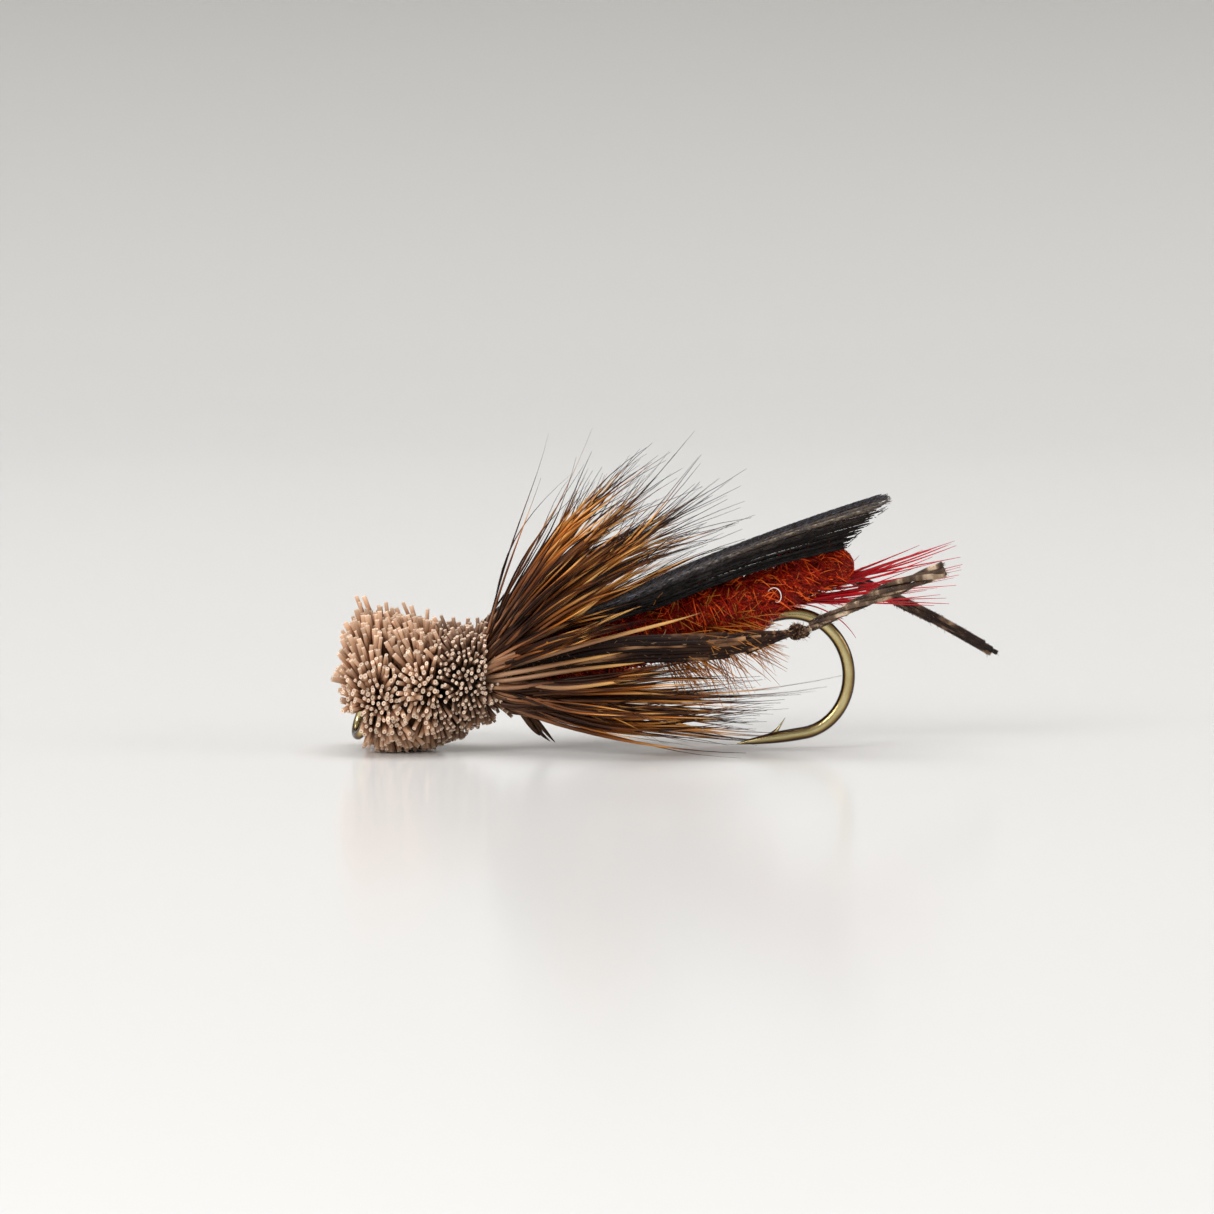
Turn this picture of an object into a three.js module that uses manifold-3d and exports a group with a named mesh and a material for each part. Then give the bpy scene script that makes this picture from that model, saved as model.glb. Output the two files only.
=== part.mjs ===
// A grasshopper dry fly tied on a size 8 long-shank hook, standing on its clipped head.
// Millimetres. +Z is up, +X runs from the hook's eye to the tail, +Y is the far side.
// The origin is the middle of the flat clipped underside of the deer-hair head.
import * as THREE from 'three';
import { mergeVertices } from 'three/addons/utils/BufferGeometryUtils.js';
import Module from 'manifold-3d';

const wasm = await Module();
wasm.setup();

// ---- driving dimensions ----

// Hook. The shank leans back because the fly stands on its head.
const SHANK_LEAN = 11.9; // degrees
const EYE_ROOT = new THREE.Vector3(-1.15, 0, 2.5); // front end of the shank
const WIRE_RADIUS = 0.325;
const WIRE_SIDES = 16; // a multiple of 4, so that the forged bend has a flat on each side
const BEND_START = 20.95; // along the shank
const BEND_REACH = 2.8; // from the bend's middle to its back
const BEND_DROP = 3.05; // half the gap
const FORGED_RATIO = 0.84; // the bend is hammered flat to this share of the wire's width
const POINT_ARM = 3.45;
const POINT_ARM_LIFT = 2.8; // degrees that the point arm leans in towards the shank
const EYE_RADIUS = 0.88;
const EYE_WIRE = 0.24;
const EYE_SLANT = 21.6; // degrees from vertical
const EYE_TWIST = 14; // degrees
const BARB_FOOT = 1.45; // along the point arm, from its tip
const BARB_LENGTH = 1.35;
const BARB_HEIGHT = 0.92;

// Thread sleeves: [start along the shank, end along the shank, outer radius]
const THREAD_BORE = 0.37;
const UNDERBODY = [7.05, 20.6, 0.47];
const COLLAR_BAND = [6.12, 6.95, 0.85];
const WHIP_FINISH = [0.25, 0.8, 0.55];

// Yarn body
const BODY_START = 8.1;
const BODY_END = 20.75;
const BODY_BORE = 0.54;
const BODY_NECK_RADIUS = 0.72;
const BODY_RADIUS = 1.46;
const BODY_TAIL_RADIUS = 1.3;
const BODY_FULL_AT = 13.6; // along the shank
const BODY_THINS_FROM = 19; // along the shank
const BODY_LIFT = { front: 0.36, rear: 0.34 }; // the yarn lies thicker on top of the shank than below it
const BODY_SWELLS = [12, 17.5]; // along the shank, where the rear lift is added
const YARN_BELOW = 0.1; // least yarn left under the bore
const YARN_WRAPS = 9;
const YARN_BUMP = 0.12;
const LOOP_START = new THREE.Vector3(19.0, 0, 8.5);
const LOOP_END = new THREE.Vector3(23.05, 0, 9.45);
const LOOP_RADIUS = 0.88;

// Tail: a tied bundle that opens into a fan of loose fibres
const TAIL_BUTT = new THREE.Vector3(19.15, 0, 7.56);
const TAIL_TIE = new THREE.Vector3(20.2, 0, 7.6);
const TAIL_THROAT = new THREE.Vector3(21.6, 0, 7.85); // where the bundle opens
const TAIL_TIP_X = 28.6;
const TAIL_TIP_Z = [7, 10.7]; // lowest, highest
const TAIL_SPREAD = 2.2; // to each side
const TAIL_FIBRES = 9;

// Palmered hackle
const HACKLE_GAP = 0.18; // from the yarn to the middle of the stem
const HACKLE_STEM = 0.06;
const HACKLE_TURNS = 4;
const HACKLE_START = 13.9; // along the shank
const HACKLE_END = 19.7;
const HACKLE_BARB = { root: 0.05, tip: 0.02, reach: 1.9, sweepBack: 1.1 };
const HACKLE_BARBS_BELOW = [140, 220]; // degrees around the shank from the top

// Wing: a folded quill slip that drapes over the body like a tent
const WING_FRONT = new THREE.Vector3(5.75, 0, 4.95);
const WING_BACK = new THREE.Vector3(24.35, 0, 12.72);
const WING_THICKNESS = 0.11;
const WING_BOW = 0.5; // how far the ridge rises above a straight line
const WING_GIRTH = { butt: 0.55, middle: 2.25, rear: 2.4 }; // from the ridge to the edge, over the surface
const WING_RIDGE_RADIUS = [2.05, 1.25]; // front, back
const WING_PANEL_ANGLE = 60; // degrees at which the rounded ridge turns into a flat panel
const WING_NOTCH = 0.55; // how far the rear corners pass the ridge
const WING_RAKE = 2.85; // how far the lower rear edge falls short of the corners

// Legs: bundles of quill fibres with an overhand knot for a knee
const HIP_SIDE = 1.25;
const LEG_SIDE = 2.78;
const LEG_ROOT = { width: 0.2, height: 0.26 }; // half sizes at the hip and the knee
const LEG_FULL = { width: 0.33, height: 0.66 }; // half sizes of the middle of the thigh
const SHIN_FLATNESS = 0.7; // width over height
const KNEE_GAP = 0.72; // from the knot's middle to the shin
const KNOT_RADIUS = 0.32;
const KNOT_STRAND = 0.11;

// Deer hair
const HAIR_RADIUS = 0.15;
const HAIR_LENGTH = 16.8; // of a hair that lies along the shank
const HAIR_SHORTER = 0.11; // for each degree that it flares
const COLLAR_AT = 6.75; // along the shank
const COLLAR_RADIUS = 1.68;
const FLOOR_CLEARANCE = 0.16;

// Head: two spun clumps of hair; each station holds [x, bottom, top, half-width].
// The bottoms that lie below zero are clipped flat on the floor.
const HEAD_BORE = 0.62;
const HEAD_FRONT = -2.35;
const FRONT_CLUMP = [
  [HEAD_FRONT, 2.7, 5.4, 2.3],
  [-1.65, -0.25, 7, 3.35],
  [0, -0.45, 6.9, 3.65],
  [2.225, 0.06, 6.4, 3.2],
];
const REAR_CLUMP = [
  [2.275, 0.1, 6.35, 3.1],
  [3.6, 0.75, 6.25, 2.75],
  [4.6, 1.5, 6.4, 2.45],
];
const EYE_NOTCH = { depth: 3, width: 2.7, height: 3.2, bottom: -0.25 }; // clipped clear of the eye
const BUTT_SPIKES = 3; // short trimmed hair butts below the neck

// ---- materials ----

const finish = (color, roughness, metalness = 0) =>
  new THREE.MeshStandardMaterial({ color, roughness, metalness });

const BRONZE_WIRE = finish(0x8a7a4c, 0.28, 1);
const PALE_THREAD = finish(0xc9b9a6, 0.6);
const RUST_YARN = finish(0x9a300d, 0.95);
const RED_FIBRE = finish(0xa5142c, 0.45);
const GINGER_HACKLE = finish(0x9a6a30, 0.5);
const DARK_QUILL = finish(0x2b221e, 0.42);
const LEG_FIBRE = finish(0x4b3728, 0.6);
const HAIR_TIP = finish(0x5d4128, 0.5);
const HAIR_BUTT = finish(0xb29b8a, 0.8);

// ---- geometry helpers ----

const degrees = THREE.MathUtils.degToRad;
const mix = THREE.MathUtils.lerp;
const smooth = THREE.MathUtils.smoothstep;
const vector = (x, y, z) => new THREE.Vector3(x, y, z);
const SIDEWAYS = vector(0, 1, 0);
const ALONG_SHANK = vector(Math.cos(degrees(SHANK_LEAN)), 0, Math.sin(degrees(SHANK_LEAN)));
const ABOVE_SHANK = vector(-ALONG_SHANK.z, 0, ALONG_SHANK.x);
const SHANK_AXES = new THREE.Matrix4()
  .makeBasis(ABOVE_SHANK, ALONG_SHANK, SIDEWAYS)
  .setPosition(EYE_ROOT);

/** The point at a distance along the shank, above it and to its far side. */
function onShank(along, above = 0, side = 0) {
  return EYE_ROOT.clone()
    .addScaledVector(ALONG_SHANK, along)
    .addScaledVector(ABOVE_SHANK, above)
    .addScaledVector(SIDEWAYS, side);
}

/** The point on a ring about the shank; the angle runs from the top to the near side. */
function aroundShank(along, radius, angle) {
  return onShank(along, radius * Math.cos(angle), -radius * Math.sin(angle));
}

/** A closed bar through the points; its sections face along it, or all face one way. */
function sweep(points, { sides = 4, width, height = width, across = SIDEWAYS, turn = 0, facing }) {
  const last = points.length - 1;
  const bar = new THREE.CylinderGeometry(1, 1, 1, sides, last);
  bar.rotateY(turn);
  const frames = points.map((point, i) => {
    const next = points[Math.min(i + 1, last)].clone();
    const ahead = facing ?? next.sub(points[Math.max(i - 1, 0)]).normalize();
    const side = across.clone().addScaledVector(ahead, -across.dot(ahead)).normalize();
    return { point, side, up: side.clone().cross(ahead) };
  });
  const corner = new THREE.Vector3();
  const spots = bar.attributes.position;
  for (let i = 0; i < spots.count; i += 1) {
    corner.fromBufferAttribute(spots, i);
    const ring = Math.round((corner.y + 0.5) * last);
    const { point, side, up } = frames[ring];
    const place = point.clone()
      .addScaledVector(side, corner.x * width(ring / last))
      .addScaledVector(up, corner.z * height(ring / last));
    spots.setXYZ(i, place.x, place.y, place.z);
  }
  return bar;
}

/** Evenly spaced points on a smooth curve through a few points. */
const smoothPath = (points, steps) => new THREE.CatmullRomCurve3(points).getSpacedPoints(steps);

/** A closed solid of revolution about the shank; the profile holds [radius, along] pairs. */
function turned(profile, sides) {
  const outline = [...profile, profile[0]].map(([radius, along]) => new THREE.Vector2(radius, along));
  return new THREE.LatheGeometry(outline, sides).applyMatrix4(SHANK_AXES);
}

function toSolid(geometry) {
  const bare = geometry.clone();
  bare.deleteAttribute('normal');
  bare.deleteAttribute('uv');
  const merged = mergeVertices(bare, 1e-4);
  const mesh = new wasm.Mesh({
    numProp: 3,
    vertProperties: new Float32Array(merged.attributes.position.array),
    triVerts: new Uint32Array(merged.index.array),
  });
  return new wasm.Manifold(mesh);
}

function toGeometry(solid) {
  const mesh = solid.getMesh();
  const geometry = new THREE.BufferGeometry();
  geometry.setAttribute('position', new THREE.BufferAttribute(mesh.vertProperties, 3));
  geometry.setIndex(new THREE.BufferAttribute(mesh.triVerts, 1));
  return geometry;
}

const joined = (geometries) =>
  toGeometry(geometries.map(toSolid).reduce((whole, piece) => whole.add(piece)));

function cut(geometry, tools) {
  return toGeometry(tools.map(toSolid).reduce((rest, tool) => rest.subtract(tool), toSolid(geometry)));
}

// ---- hook ----

const SHANK_STATIONS = [0, 0.35, 0.7]; // shares of the shank
const BEND_STEPS = 32;
const ARM_STATIONS = [0.3, 0.55, 0.8, 1]; // shares of the point arm

function hookPath() {
  const bend = new THREE.EllipseCurve(
    BEND_START, -BEND_DROP, BEND_REACH, BEND_DROP, Math.PI / 2, -Math.PI / 2, true,
  );
  const shank = SHANK_STATIONS.map((share) => onShank(share * BEND_START));
  const round = bend.getPoints(BEND_STEPS).map(({ x, y }) => onShank(x, y));
  const lift = degrees(POINT_ARM_LIFT);
  const arm = ARM_STATIONS.map((share) => {
    const forward = share * POINT_ARM;
    return onShank(BEND_START - forward * Math.cos(lift), -2 * BEND_DROP + forward * Math.sin(lift));
  });
  return [...shank, ...round, ...arm];
}

function hook() {
  const path = hookPath();
  const last = path.length - 1;
  const bendFrom = SHANK_STATIONS.length;
  const bendTo = bendFrom + BEND_STEPS;
  const sharpenFrom = (last - 3) / last;
  const taper = (t) => 1 - 0.93 * Math.max(0, (t - sharpenFrom) / (1 - sharpenFrom)) ** 1.4;
  const inBend = (step) =>
    smooth(step, bendFrom, bendFrom + 5) * (1 - smooth(step, bendTo - 6, bendTo - 1));
  const wire = sweep(path, {
    sides: WIRE_SIDES,
    turn: Math.PI / WIRE_SIDES,
    width: (t) => WIRE_RADIUS * taper(t) * mix(1, FORGED_RATIO, inBend(t * last)),
    height: (t) => WIRE_RADIUS * taper(t),
  });

  const eye = new THREE.TorusGeometry(EYE_RADIUS, EYE_WIRE, 12, 28);
  eye.rotateY(Math.PI / 2);
  eye.translate(0, 0, -EYE_RADIUS - EYE_WIRE / 2);
  eye.rotateZ(degrees(EYE_TWIST));
  const slant = new THREE.Matrix4().makeRotationY(degrees(EYE_SLANT));
  eye.applyMatrix4(slant.setPosition(EYE_ROOT));

  const tip = path[last];
  const armAxis = path[last - 3].clone().sub(tip).normalize();
  const armUp = SIDEWAYS.clone().cross(armAxis).negate();
  const barbPoint = (along, above) =>
    tip.clone().addScaledVector(armAxis, along).addScaledVector(armUp, above);
  const barb = sweep(
    [
      barbPoint(BARB_FOOT, 0.05),
      barbPoint(BARB_FOOT + BARB_LENGTH / 2, 0.41 * BARB_HEIGHT),
      barbPoint(BARB_FOOT + 0.85 * BARB_LENGTH, BARB_HEIGHT),
    ],
    { sides: 6, width: (t) => mix(0.17, 0.03, t), height: (t) => mix(0.13, 0.02, t) },
  );
  return joined([wire, eye, barb]);
}

// ---- thread ----

function sleeve([start, end, radius]) {
  return turned([[THREAD_BORE, start], [radius, start], [radius, end], [THREAD_BORE, end]], 14);
}

// ---- yarn body ----

function bodyRadius(along) {
  const grown = smooth(along, BODY_START - 3, BODY_FULL_AT);
  const closing = smooth(along, BODY_THINS_FROM, BODY_END);
  return mix(mix(BODY_NECK_RADIUS, BODY_RADIUS, grown), BODY_TAIL_RADIUS, closing);
}

function bodyLift(along) {
  const front = BODY_LIFT.front * smooth(along, BODY_START, BODY_FULL_AT);
  const rear = BODY_LIFT.rear * smooth(along, ...BODY_SWELLS);
  const most = bodyRadius(along) - YARN_BUMP - BODY_BORE - YARN_BELOW;
  return Math.min(front + rear, most);
}

/** Moves the outside of a sleeve up off the shank and leaves its bore where it is. */
function liftOutside(sleeveGeometry) {
  const spots = sleeveGeometry.attributes.position;
  const corner = new THREE.Vector3();
  for (let i = 0; i < spots.count; i += 1) {
    corner.fromBufferAttribute(spots, i);
    const along = corner.clone().sub(EYE_ROOT).dot(ALONG_SHANK);
    const isOutside = corner.distanceTo(onShank(along)) > BODY_BORE + 0.01;
    if (isOutside) {
      corner.addScaledVector(ABOVE_SHANK, bodyLift(along));
      spots.setXYZ(i, corner.x, corner.y, corner.z);
    }
  }
  return sleeveGeometry;
}

function yarnBody() {
  const stepsPerWrap = 4;
  const steps = YARN_WRAPS * stepsPerWrap;
  const outside = Array.from({ length: steps + 1 }, (_, i) => {
    const along = mix(BODY_START, BODY_END, i / steps);
    const groove = (1 + Math.cos((2 * Math.PI * i) / stepsPerWrap)) / 2;
    return [bodyRadius(along) - YARN_BUMP * groove, along];
  });
  return liftOutside(turned([[BODY_BORE, BODY_START], ...outside, [BODY_BORE, BODY_END]], 16));
}

function yarnLoop() {
  const path = smoothPath([LOOP_START, LOOP_START.clone().lerp(LOOP_END, 0.5), LOOP_END], 9);
  const round = (t) => LOOP_RADIUS * Math.sqrt(Math.max(0.06, 1 - (2 * t - 1) ** 6));
  const bumps = (t) => 1 - 0.06 * Math.cos(t * Math.PI * 9);
  return sweep(path, { sides: 12, width: (t) => round(t) * bumps(t), height: (t) => round(t) * bumps(t) });
}

function tailFibres() {
  const bundle = sweep([TAIL_BUTT, TAIL_TIE, TAIL_THROAT], {
    sides: 6,
    width: (t) => mix(0.14, 0.2, t),
    height: (t) => mix(0.12, 0.16, t),
  });
  const fibres = Array.from({ length: TAIL_FIBRES }, (_, i) => {
    const share = i / (TAIL_FIBRES - 1);
    const tip = vector(
      TAIL_TIP_X - 1.4 * Math.abs(share - 0.6),
      TAIL_SPREAD * Math.sin(i * 2.4),
      mix(TAIL_TIP_Z[0], TAIL_TIP_Z[1], share),
    );
    const throat = TAIL_THROAT.clone().add(vector(1, tip.y * 0.15, mix(0.05, 0.4, share)));
    return sweep([TAIL_TIE, throat, tip], { sides: 3, width: (t) => mix(0.09, 0.03, t) });
  });
  return joined([bundle, ...fibres]);
}

// ---- palmered hackle ----

function palmeredHackle() {
  const stepsPerTurn = 14;
  const steps = HACKLE_TURNS * stepsPerTurn;
  const spot = (share, gap) => {
    const along = mix(HACKLE_START, HACKLE_END, share);
    const place = aroundShank(along, bodyRadius(along) + gap, share * HACKLE_TURNS * 2 * Math.PI);
    return place.addScaledVector(ABOVE_SHANK, bodyLift(along));
  };
  const helix = Array.from({ length: steps + 1 }, (_, i) => spot(i / steps, HACKLE_GAP));
  const stem = sweep(helix, { sides: 4, width: () => HACKLE_STEM, across: ALONG_SHANK });
  const { root: thick, tip: thin, reach, sweepBack } = HACKLE_BARB;
  const [from, to] = HACKLE_BARBS_BELOW;
  const isBelow = (step) => {
    const angle = (step * 360 / stepsPerTurn) % 360;
    return angle > from && angle < to;
  };
  const barbs = helix.map((root, step) => {
    const outward = spot(step / steps, HACKLE_GAP + reach);
    const tip = outward.addScaledVector(ALONG_SHANK, sweepBack);
    return sweep([root, tip], { sides: 3, width: (t) => mix(thick, thin, t) });
  });
  return joined([stem, ...barbs.filter((_, step) => isBelow(step))]);
}

// ---- wing ----

function wingSection(distance, ridgeRadius) {
  const turn = degrees(WING_PANEL_ANGLE);
  const angle = Math.min(distance / ridgeRadius, turn);
  const straight = Math.max(0, distance - ridgeRadius * turn);
  return {
    out: ridgeRadius * Math.sin(angle) + straight * Math.cos(turn),
    drop: ridgeRadius * (1 - Math.cos(angle)) + straight * Math.sin(turn),
    normal: angle,
  };
}

function wing() {
  const slip = new THREE.BoxGeometry(1, 2, 1, 12, 12, 1);
  const ridge = WING_BACK.clone().sub(WING_FRONT);
  const length = ridge.length();
  const back = ridge.clone().normalize();
  const above = vector(-back.z, 0, back.x);
  const spots = slip.attributes.position;
  for (let i = 0; i < spots.count; i += 1) {
    const share = spots.getX(i) + 0.5;
    const side = Math.sign(spots.getY(i));
    const off = Math.abs(spots.getY(i)); // 0 on the ridge, 1 on the lower edge
    const widened = mix(WING_GIRTH.butt, WING_GIRTH.middle, smooth(share, 0, 0.42));
    const girth = mix(widened, WING_GIRTH.rear, smooth(share, 0.6, 1));
    const radius = mix(WING_RIDGE_RADIUS[0], WING_RIDGE_RADIUS[1], smooth(share, 0.4, 1));
    const { out, drop, normal } = wingSection(off * girth, radius);
    const rakedEdge = WING_NOTCH * smooth(off, 0, 0.3) - WING_RAKE * smooth(off, 0.25, 1);
    const along = share * (length + rakedEdge * share ** 4);
    const lift = (spots.getZ(i) - 0.5) * WING_THICKNESS;
    const bow = 4 * WING_BOW * share * (1 - share);
    const place = WING_FRONT.clone()
      .addScaledVector(back, along)
      .addScaledVector(above, bow - drop + lift * Math.cos(normal))
      .addScaledVector(SIDEWAYS, side * (out + lift * Math.sin(normal)));
    spots.setXYZ(i, place.x, place.y, place.z);
  }
  return slip;
}

// ---- legs ----

function femur(hip, knee, bow) {
  const path = smoothPath([hip, ...bow, knee], 10);
  const full = (t) => smooth(t, 0, 0.35) * (1 - smooth(t, 0.86, 1));
  return sweep(path, {
    sides: 8,
    width: (t) => mix(LEG_ROOT.width, LEG_FULL.width, full(t)),
    height: (t) => mix(LEG_ROOT.height, LEG_FULL.height, full(t)),
  });
}

function shin(knee, foot, rootSize, footSize) {
  const away = foot.clone().sub(knee).normalize();
  const start = knee.clone().addScaledVector(away, KNEE_GAP);
  const middle = start.clone().lerp(foot, 0.5).add(vector(0, 0, 0.12));
  const path = smoothPath([start, middle, foot], 6);
  return sweep(path, {
    sides: 6,
    width: (t) => SHIN_FLATNESS * mix(rootSize, footSize, t),
    height: (t) => mix(rootSize, footSize, t),
  });
}

function kneeKnot() {
  return new THREE.TorusKnotGeometry(KNOT_RADIUS, KNOT_STRAND, 36, 5, 2, 3);
}

/** One leg: the thigh and knot hang on the hip, and the shin hangs on the knee. */
function leg(name, { hip, bow, knee, foot, rootSize, footSize }) {
  const group = new THREE.Group();
  group.position.copy(hip);
  const local = (point) => point.clone().sub(hip);
  const approach = bow[bow.length - 1].clone().sub(knee).normalize();
  const thighEnd = knee.clone().addScaledVector(approach, KNEE_GAP);
  group.add(named(`${name}_femur`, femur(vector(0, 0, 0), local(thighEnd), bow.map(local)), LEG_FIBRE));

  const kneeGroup = new THREE.Group();
  kneeGroup.position.copy(local(knee));
  const knot = named(`${name}_knee_knot`, kneeKnot(), LEG_FIBRE);
  knot.rotation.x = Math.PI / 2;
  kneeGroup.add(knot);
  const fromKnee = foot.clone().sub(knee);
  kneeGroup.add(named(`${name}_tibia`, shin(vector(0, 0, 0), fromKnee, rootSize, footSize), LEG_FIBRE));
  group.add(kneeGroup);
  return group;
}

const NEAR_LEG = {
  hip: onShank(7.3, 0.1, -HIP_SIDE),
  bow: [
    vector(8.6, -2.35, 4.75),
    vector(11.5, -LEG_SIDE, 5.3),
    vector(16.5, -LEG_SIDE, 5.5),
  ],
  knee: vector(20.1, -LEG_SIDE - 0.1, 6.2),
  foot: vector(27.2, -4.9, 9.45),
  rootSize: 0.23,
  footSize: 0.42,
};

const FAR_LEG = {
  hip: onShank(7.3, 0.1, HIP_SIDE),
  bow: [
    vector(8.6, 2.35, 4.75),
    vector(12, LEG_SIDE, 5.9),
    vector(17.5, LEG_SIDE, 7.4),
  ],
  knee: vector(22.4, LEG_SIDE + 0.1, 8.75),
  foot: vector(30.5, 4.1, 4.5),
  rootSize: 0.26,
  footSize: 0.32,
};

// ---- deer hair ----

/** One hair of the collar; flare is its angle from the shank, angle its place around it. */
function collarHair(root, angle, flare, length) {
  const heading = (tilt) => {
    const out = aroundShank(0, 1, angle).sub(EYE_ROOT);
    return ALONG_SHANK.clone().multiplyScalar(Math.cos(tilt)).addScaledVector(out, Math.sin(tilt));
  };
  const start = root.clone();
  const middle = start.clone().addScaledVector(heading(flare + 0.06), 0.5 * length);
  const tip = start.clone().addScaledVector(heading(flare), length);
  const path = new THREE.QuadraticBezierCurve3(start, middle, tip).getSpacedPoints(4);
  path.forEach((point) => { point.z = Math.max(point.z, FLOOR_CLEARANCE); });
  const thickness = (t) => HAIR_RADIUS * (1 - 0.75 * t ** 3);
  const across = aroundShank(0, 1, angle + Math.PI / 2).sub(EYE_ROOT);
  return sweep(path, { sides: 4, width: thickness, across });
}

/** A lock of collar hairs that share one root; flares and angles are in degrees. */
function collarLock({ angle, spread, flares }) {
  const root = aroundShank(COLLAR_AT, COLLAR_RADIUS, degrees(angle));
  const knob = new THREE.OctahedronGeometry(0.3, 0);
  knob.translate(root.x, root.y, root.z);
  const hairs = flares.map((flare, i) => {
    const swing = spread * Math.sin(i * 2.1);
    const length = HAIR_LENGTH - HAIR_SHORTER * flare;
    return collarHair(root, degrees(angle + swing), degrees(flare), length);
  });
  return joined([knob, ...hairs]);
}

// angle: 0 is above the shank, 90 is the near side, 180 is below it
const COLLAR_LOCKS = {
  collar_top: { angle: 0, spread: 15, flares: [19, 26, 33, 39, 45, 52, 61, 71] },
  collar_upper_near: { angle: 38, spread: 9, flares: [19, 25, 31, 38, 45, 52] },
  collar_upper_far: { angle: -38, spread: 9, flares: [19, 25, 31, 38, 45, 52] },
  collar_side_near: { angle: 68, spread: 8, flares: [17, 22, 27, 33, 39] },
  collar_side_far: { angle: -68, spread: 8, flares: [22, 26, 30, 35, 40] },
  collar_lower_near: { angle: 116, spread: 8, flares: [15, 19, 23, 27] },
  collar_lower_far: { angle: -116, spread: 8, flares: [15, 19, 23, 27] },
  collar_under_near: { angle: 147, spread: 9, flares: [14, 17, 20, 23, 26] },
  collar_under_far: { angle: -147, spread: 9, flares: [14, 17, 20, 23, 26] },
};

/** A spun clump of hair clipped to a block. */
function clippedClump(stations, sides) {
  const at = (t, column) => {
    const place = t * (stations.length - 1);
    const before = Math.min(Math.floor(place), stations.length - 2);
    return mix(stations[before][column], stations[before + 1][column], place - before);
  };
  const steps = 2 * (stations.length - 1);
  const path = Array.from({ length: steps + 1 }, (_, i) => {
    const t = i / steps;
    return vector(at(t, 0), 0, (at(t, 1) + at(t, 2)) / 2);
  });
  return sweep(path, {
    sides,
    width: (t) => at(t, 3),
    height: (t) => (at(t, 2) - at(t, 1)) / 2,
    facing: vector(1, 0, 0),
  });
}

function boreTool() {
  const bore = new THREE.CylinderGeometry(HEAD_BORE, HEAD_BORE, 2 * COLLAR_AT, 14);
  return bore.applyMatrix4(SHANK_AXES);
}

function floorTool() {
  return new THREE.BoxGeometry(20, 20, 4).translate(0, 0, -2);
}

function eyeNotch() {
  const { depth, width, height, bottom } = EYE_NOTCH;
  return new THREE.BoxGeometry(depth, width, height).translate(HEAD_FRONT, 0, bottom + height / 2);
}

function headFront() {
  return cut(clippedClump(FRONT_CLUMP, 20), [floorTool(), boreTool(), eyeNotch()]);
}

function headRear() {
  return cut(clippedClump(REAR_CLUMP, 20), [boreTool()]);
}

function trimmedButts() {
  const root = aroundShank(7.4, 1.25, degrees(157));
  const spikes = Array.from({ length: BUTT_SPIKES }, (_, i) => {
    const tip = root.clone().add(vector(0.5 + 0.5 * i, -0.15 * i, -2.1 - 0.3 * i));
    const middle = root.clone().lerp(tip, 0.5);
    return sweep([root, middle, tip], { sides: 4, width: (t) => mix(0.14, 0.07, t) });
  });
  return joined(spikes);
}

// ---- the fly ----

function named(name, geometry, material) {
  const mesh = new THREE.Mesh(geometry, material);
  mesh.name = name;
  return mesh;
}

const fly = new THREE.Group();
fly.add(named('hook', hook(), BRONZE_WIRE));
fly.add(named('thread_underbody', sleeve(UNDERBODY), PALE_THREAD));
fly.add(named('thread_collar_band', sleeve(COLLAR_BAND), PALE_THREAD));
fly.add(named('thread_whip_finish', sleeve(WHIP_FINISH), PALE_THREAD));
fly.add(named('yarn_body', yarnBody(), RUST_YARN));
fly.add(named('yarn_loop', yarnLoop(), RUST_YARN));
fly.add(named('tail_fibres', tailFibres(), RED_FIBRE));
fly.add(named('palmered_hackle', palmeredHackle(), GINGER_HACKLE));
fly.add(named('wing_slip', wing(), DARK_QUILL));
fly.add(leg('near', NEAR_LEG));
fly.add(leg('far', FAR_LEG));
fly.add(named('trimmed_butts', trimmedButts(), LEG_FIBRE));
Object.entries(COLLAR_LOCKS).forEach(([name, lock]) => {
  fly.add(named(name, collarLock(lock), HAIR_TIP));
});
fly.add(named('head_front', headFront(), HAIR_BUTT));
fly.add(named('head_rear', headRear(), HAIR_BUTT));

export default fly;
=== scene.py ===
"""Looks for a grasshopper dry fly: hair, yarn, quill and thread, strand by strand, around the CAD frame.

Shapes are worked out in millimetres in the CAD's own frame and scaled to metres when a mesh is made.
+X runs from the hook's eye to the tail, +Z is up and +Y is the far side.
"""
import functools
import math
import zlib

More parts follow.
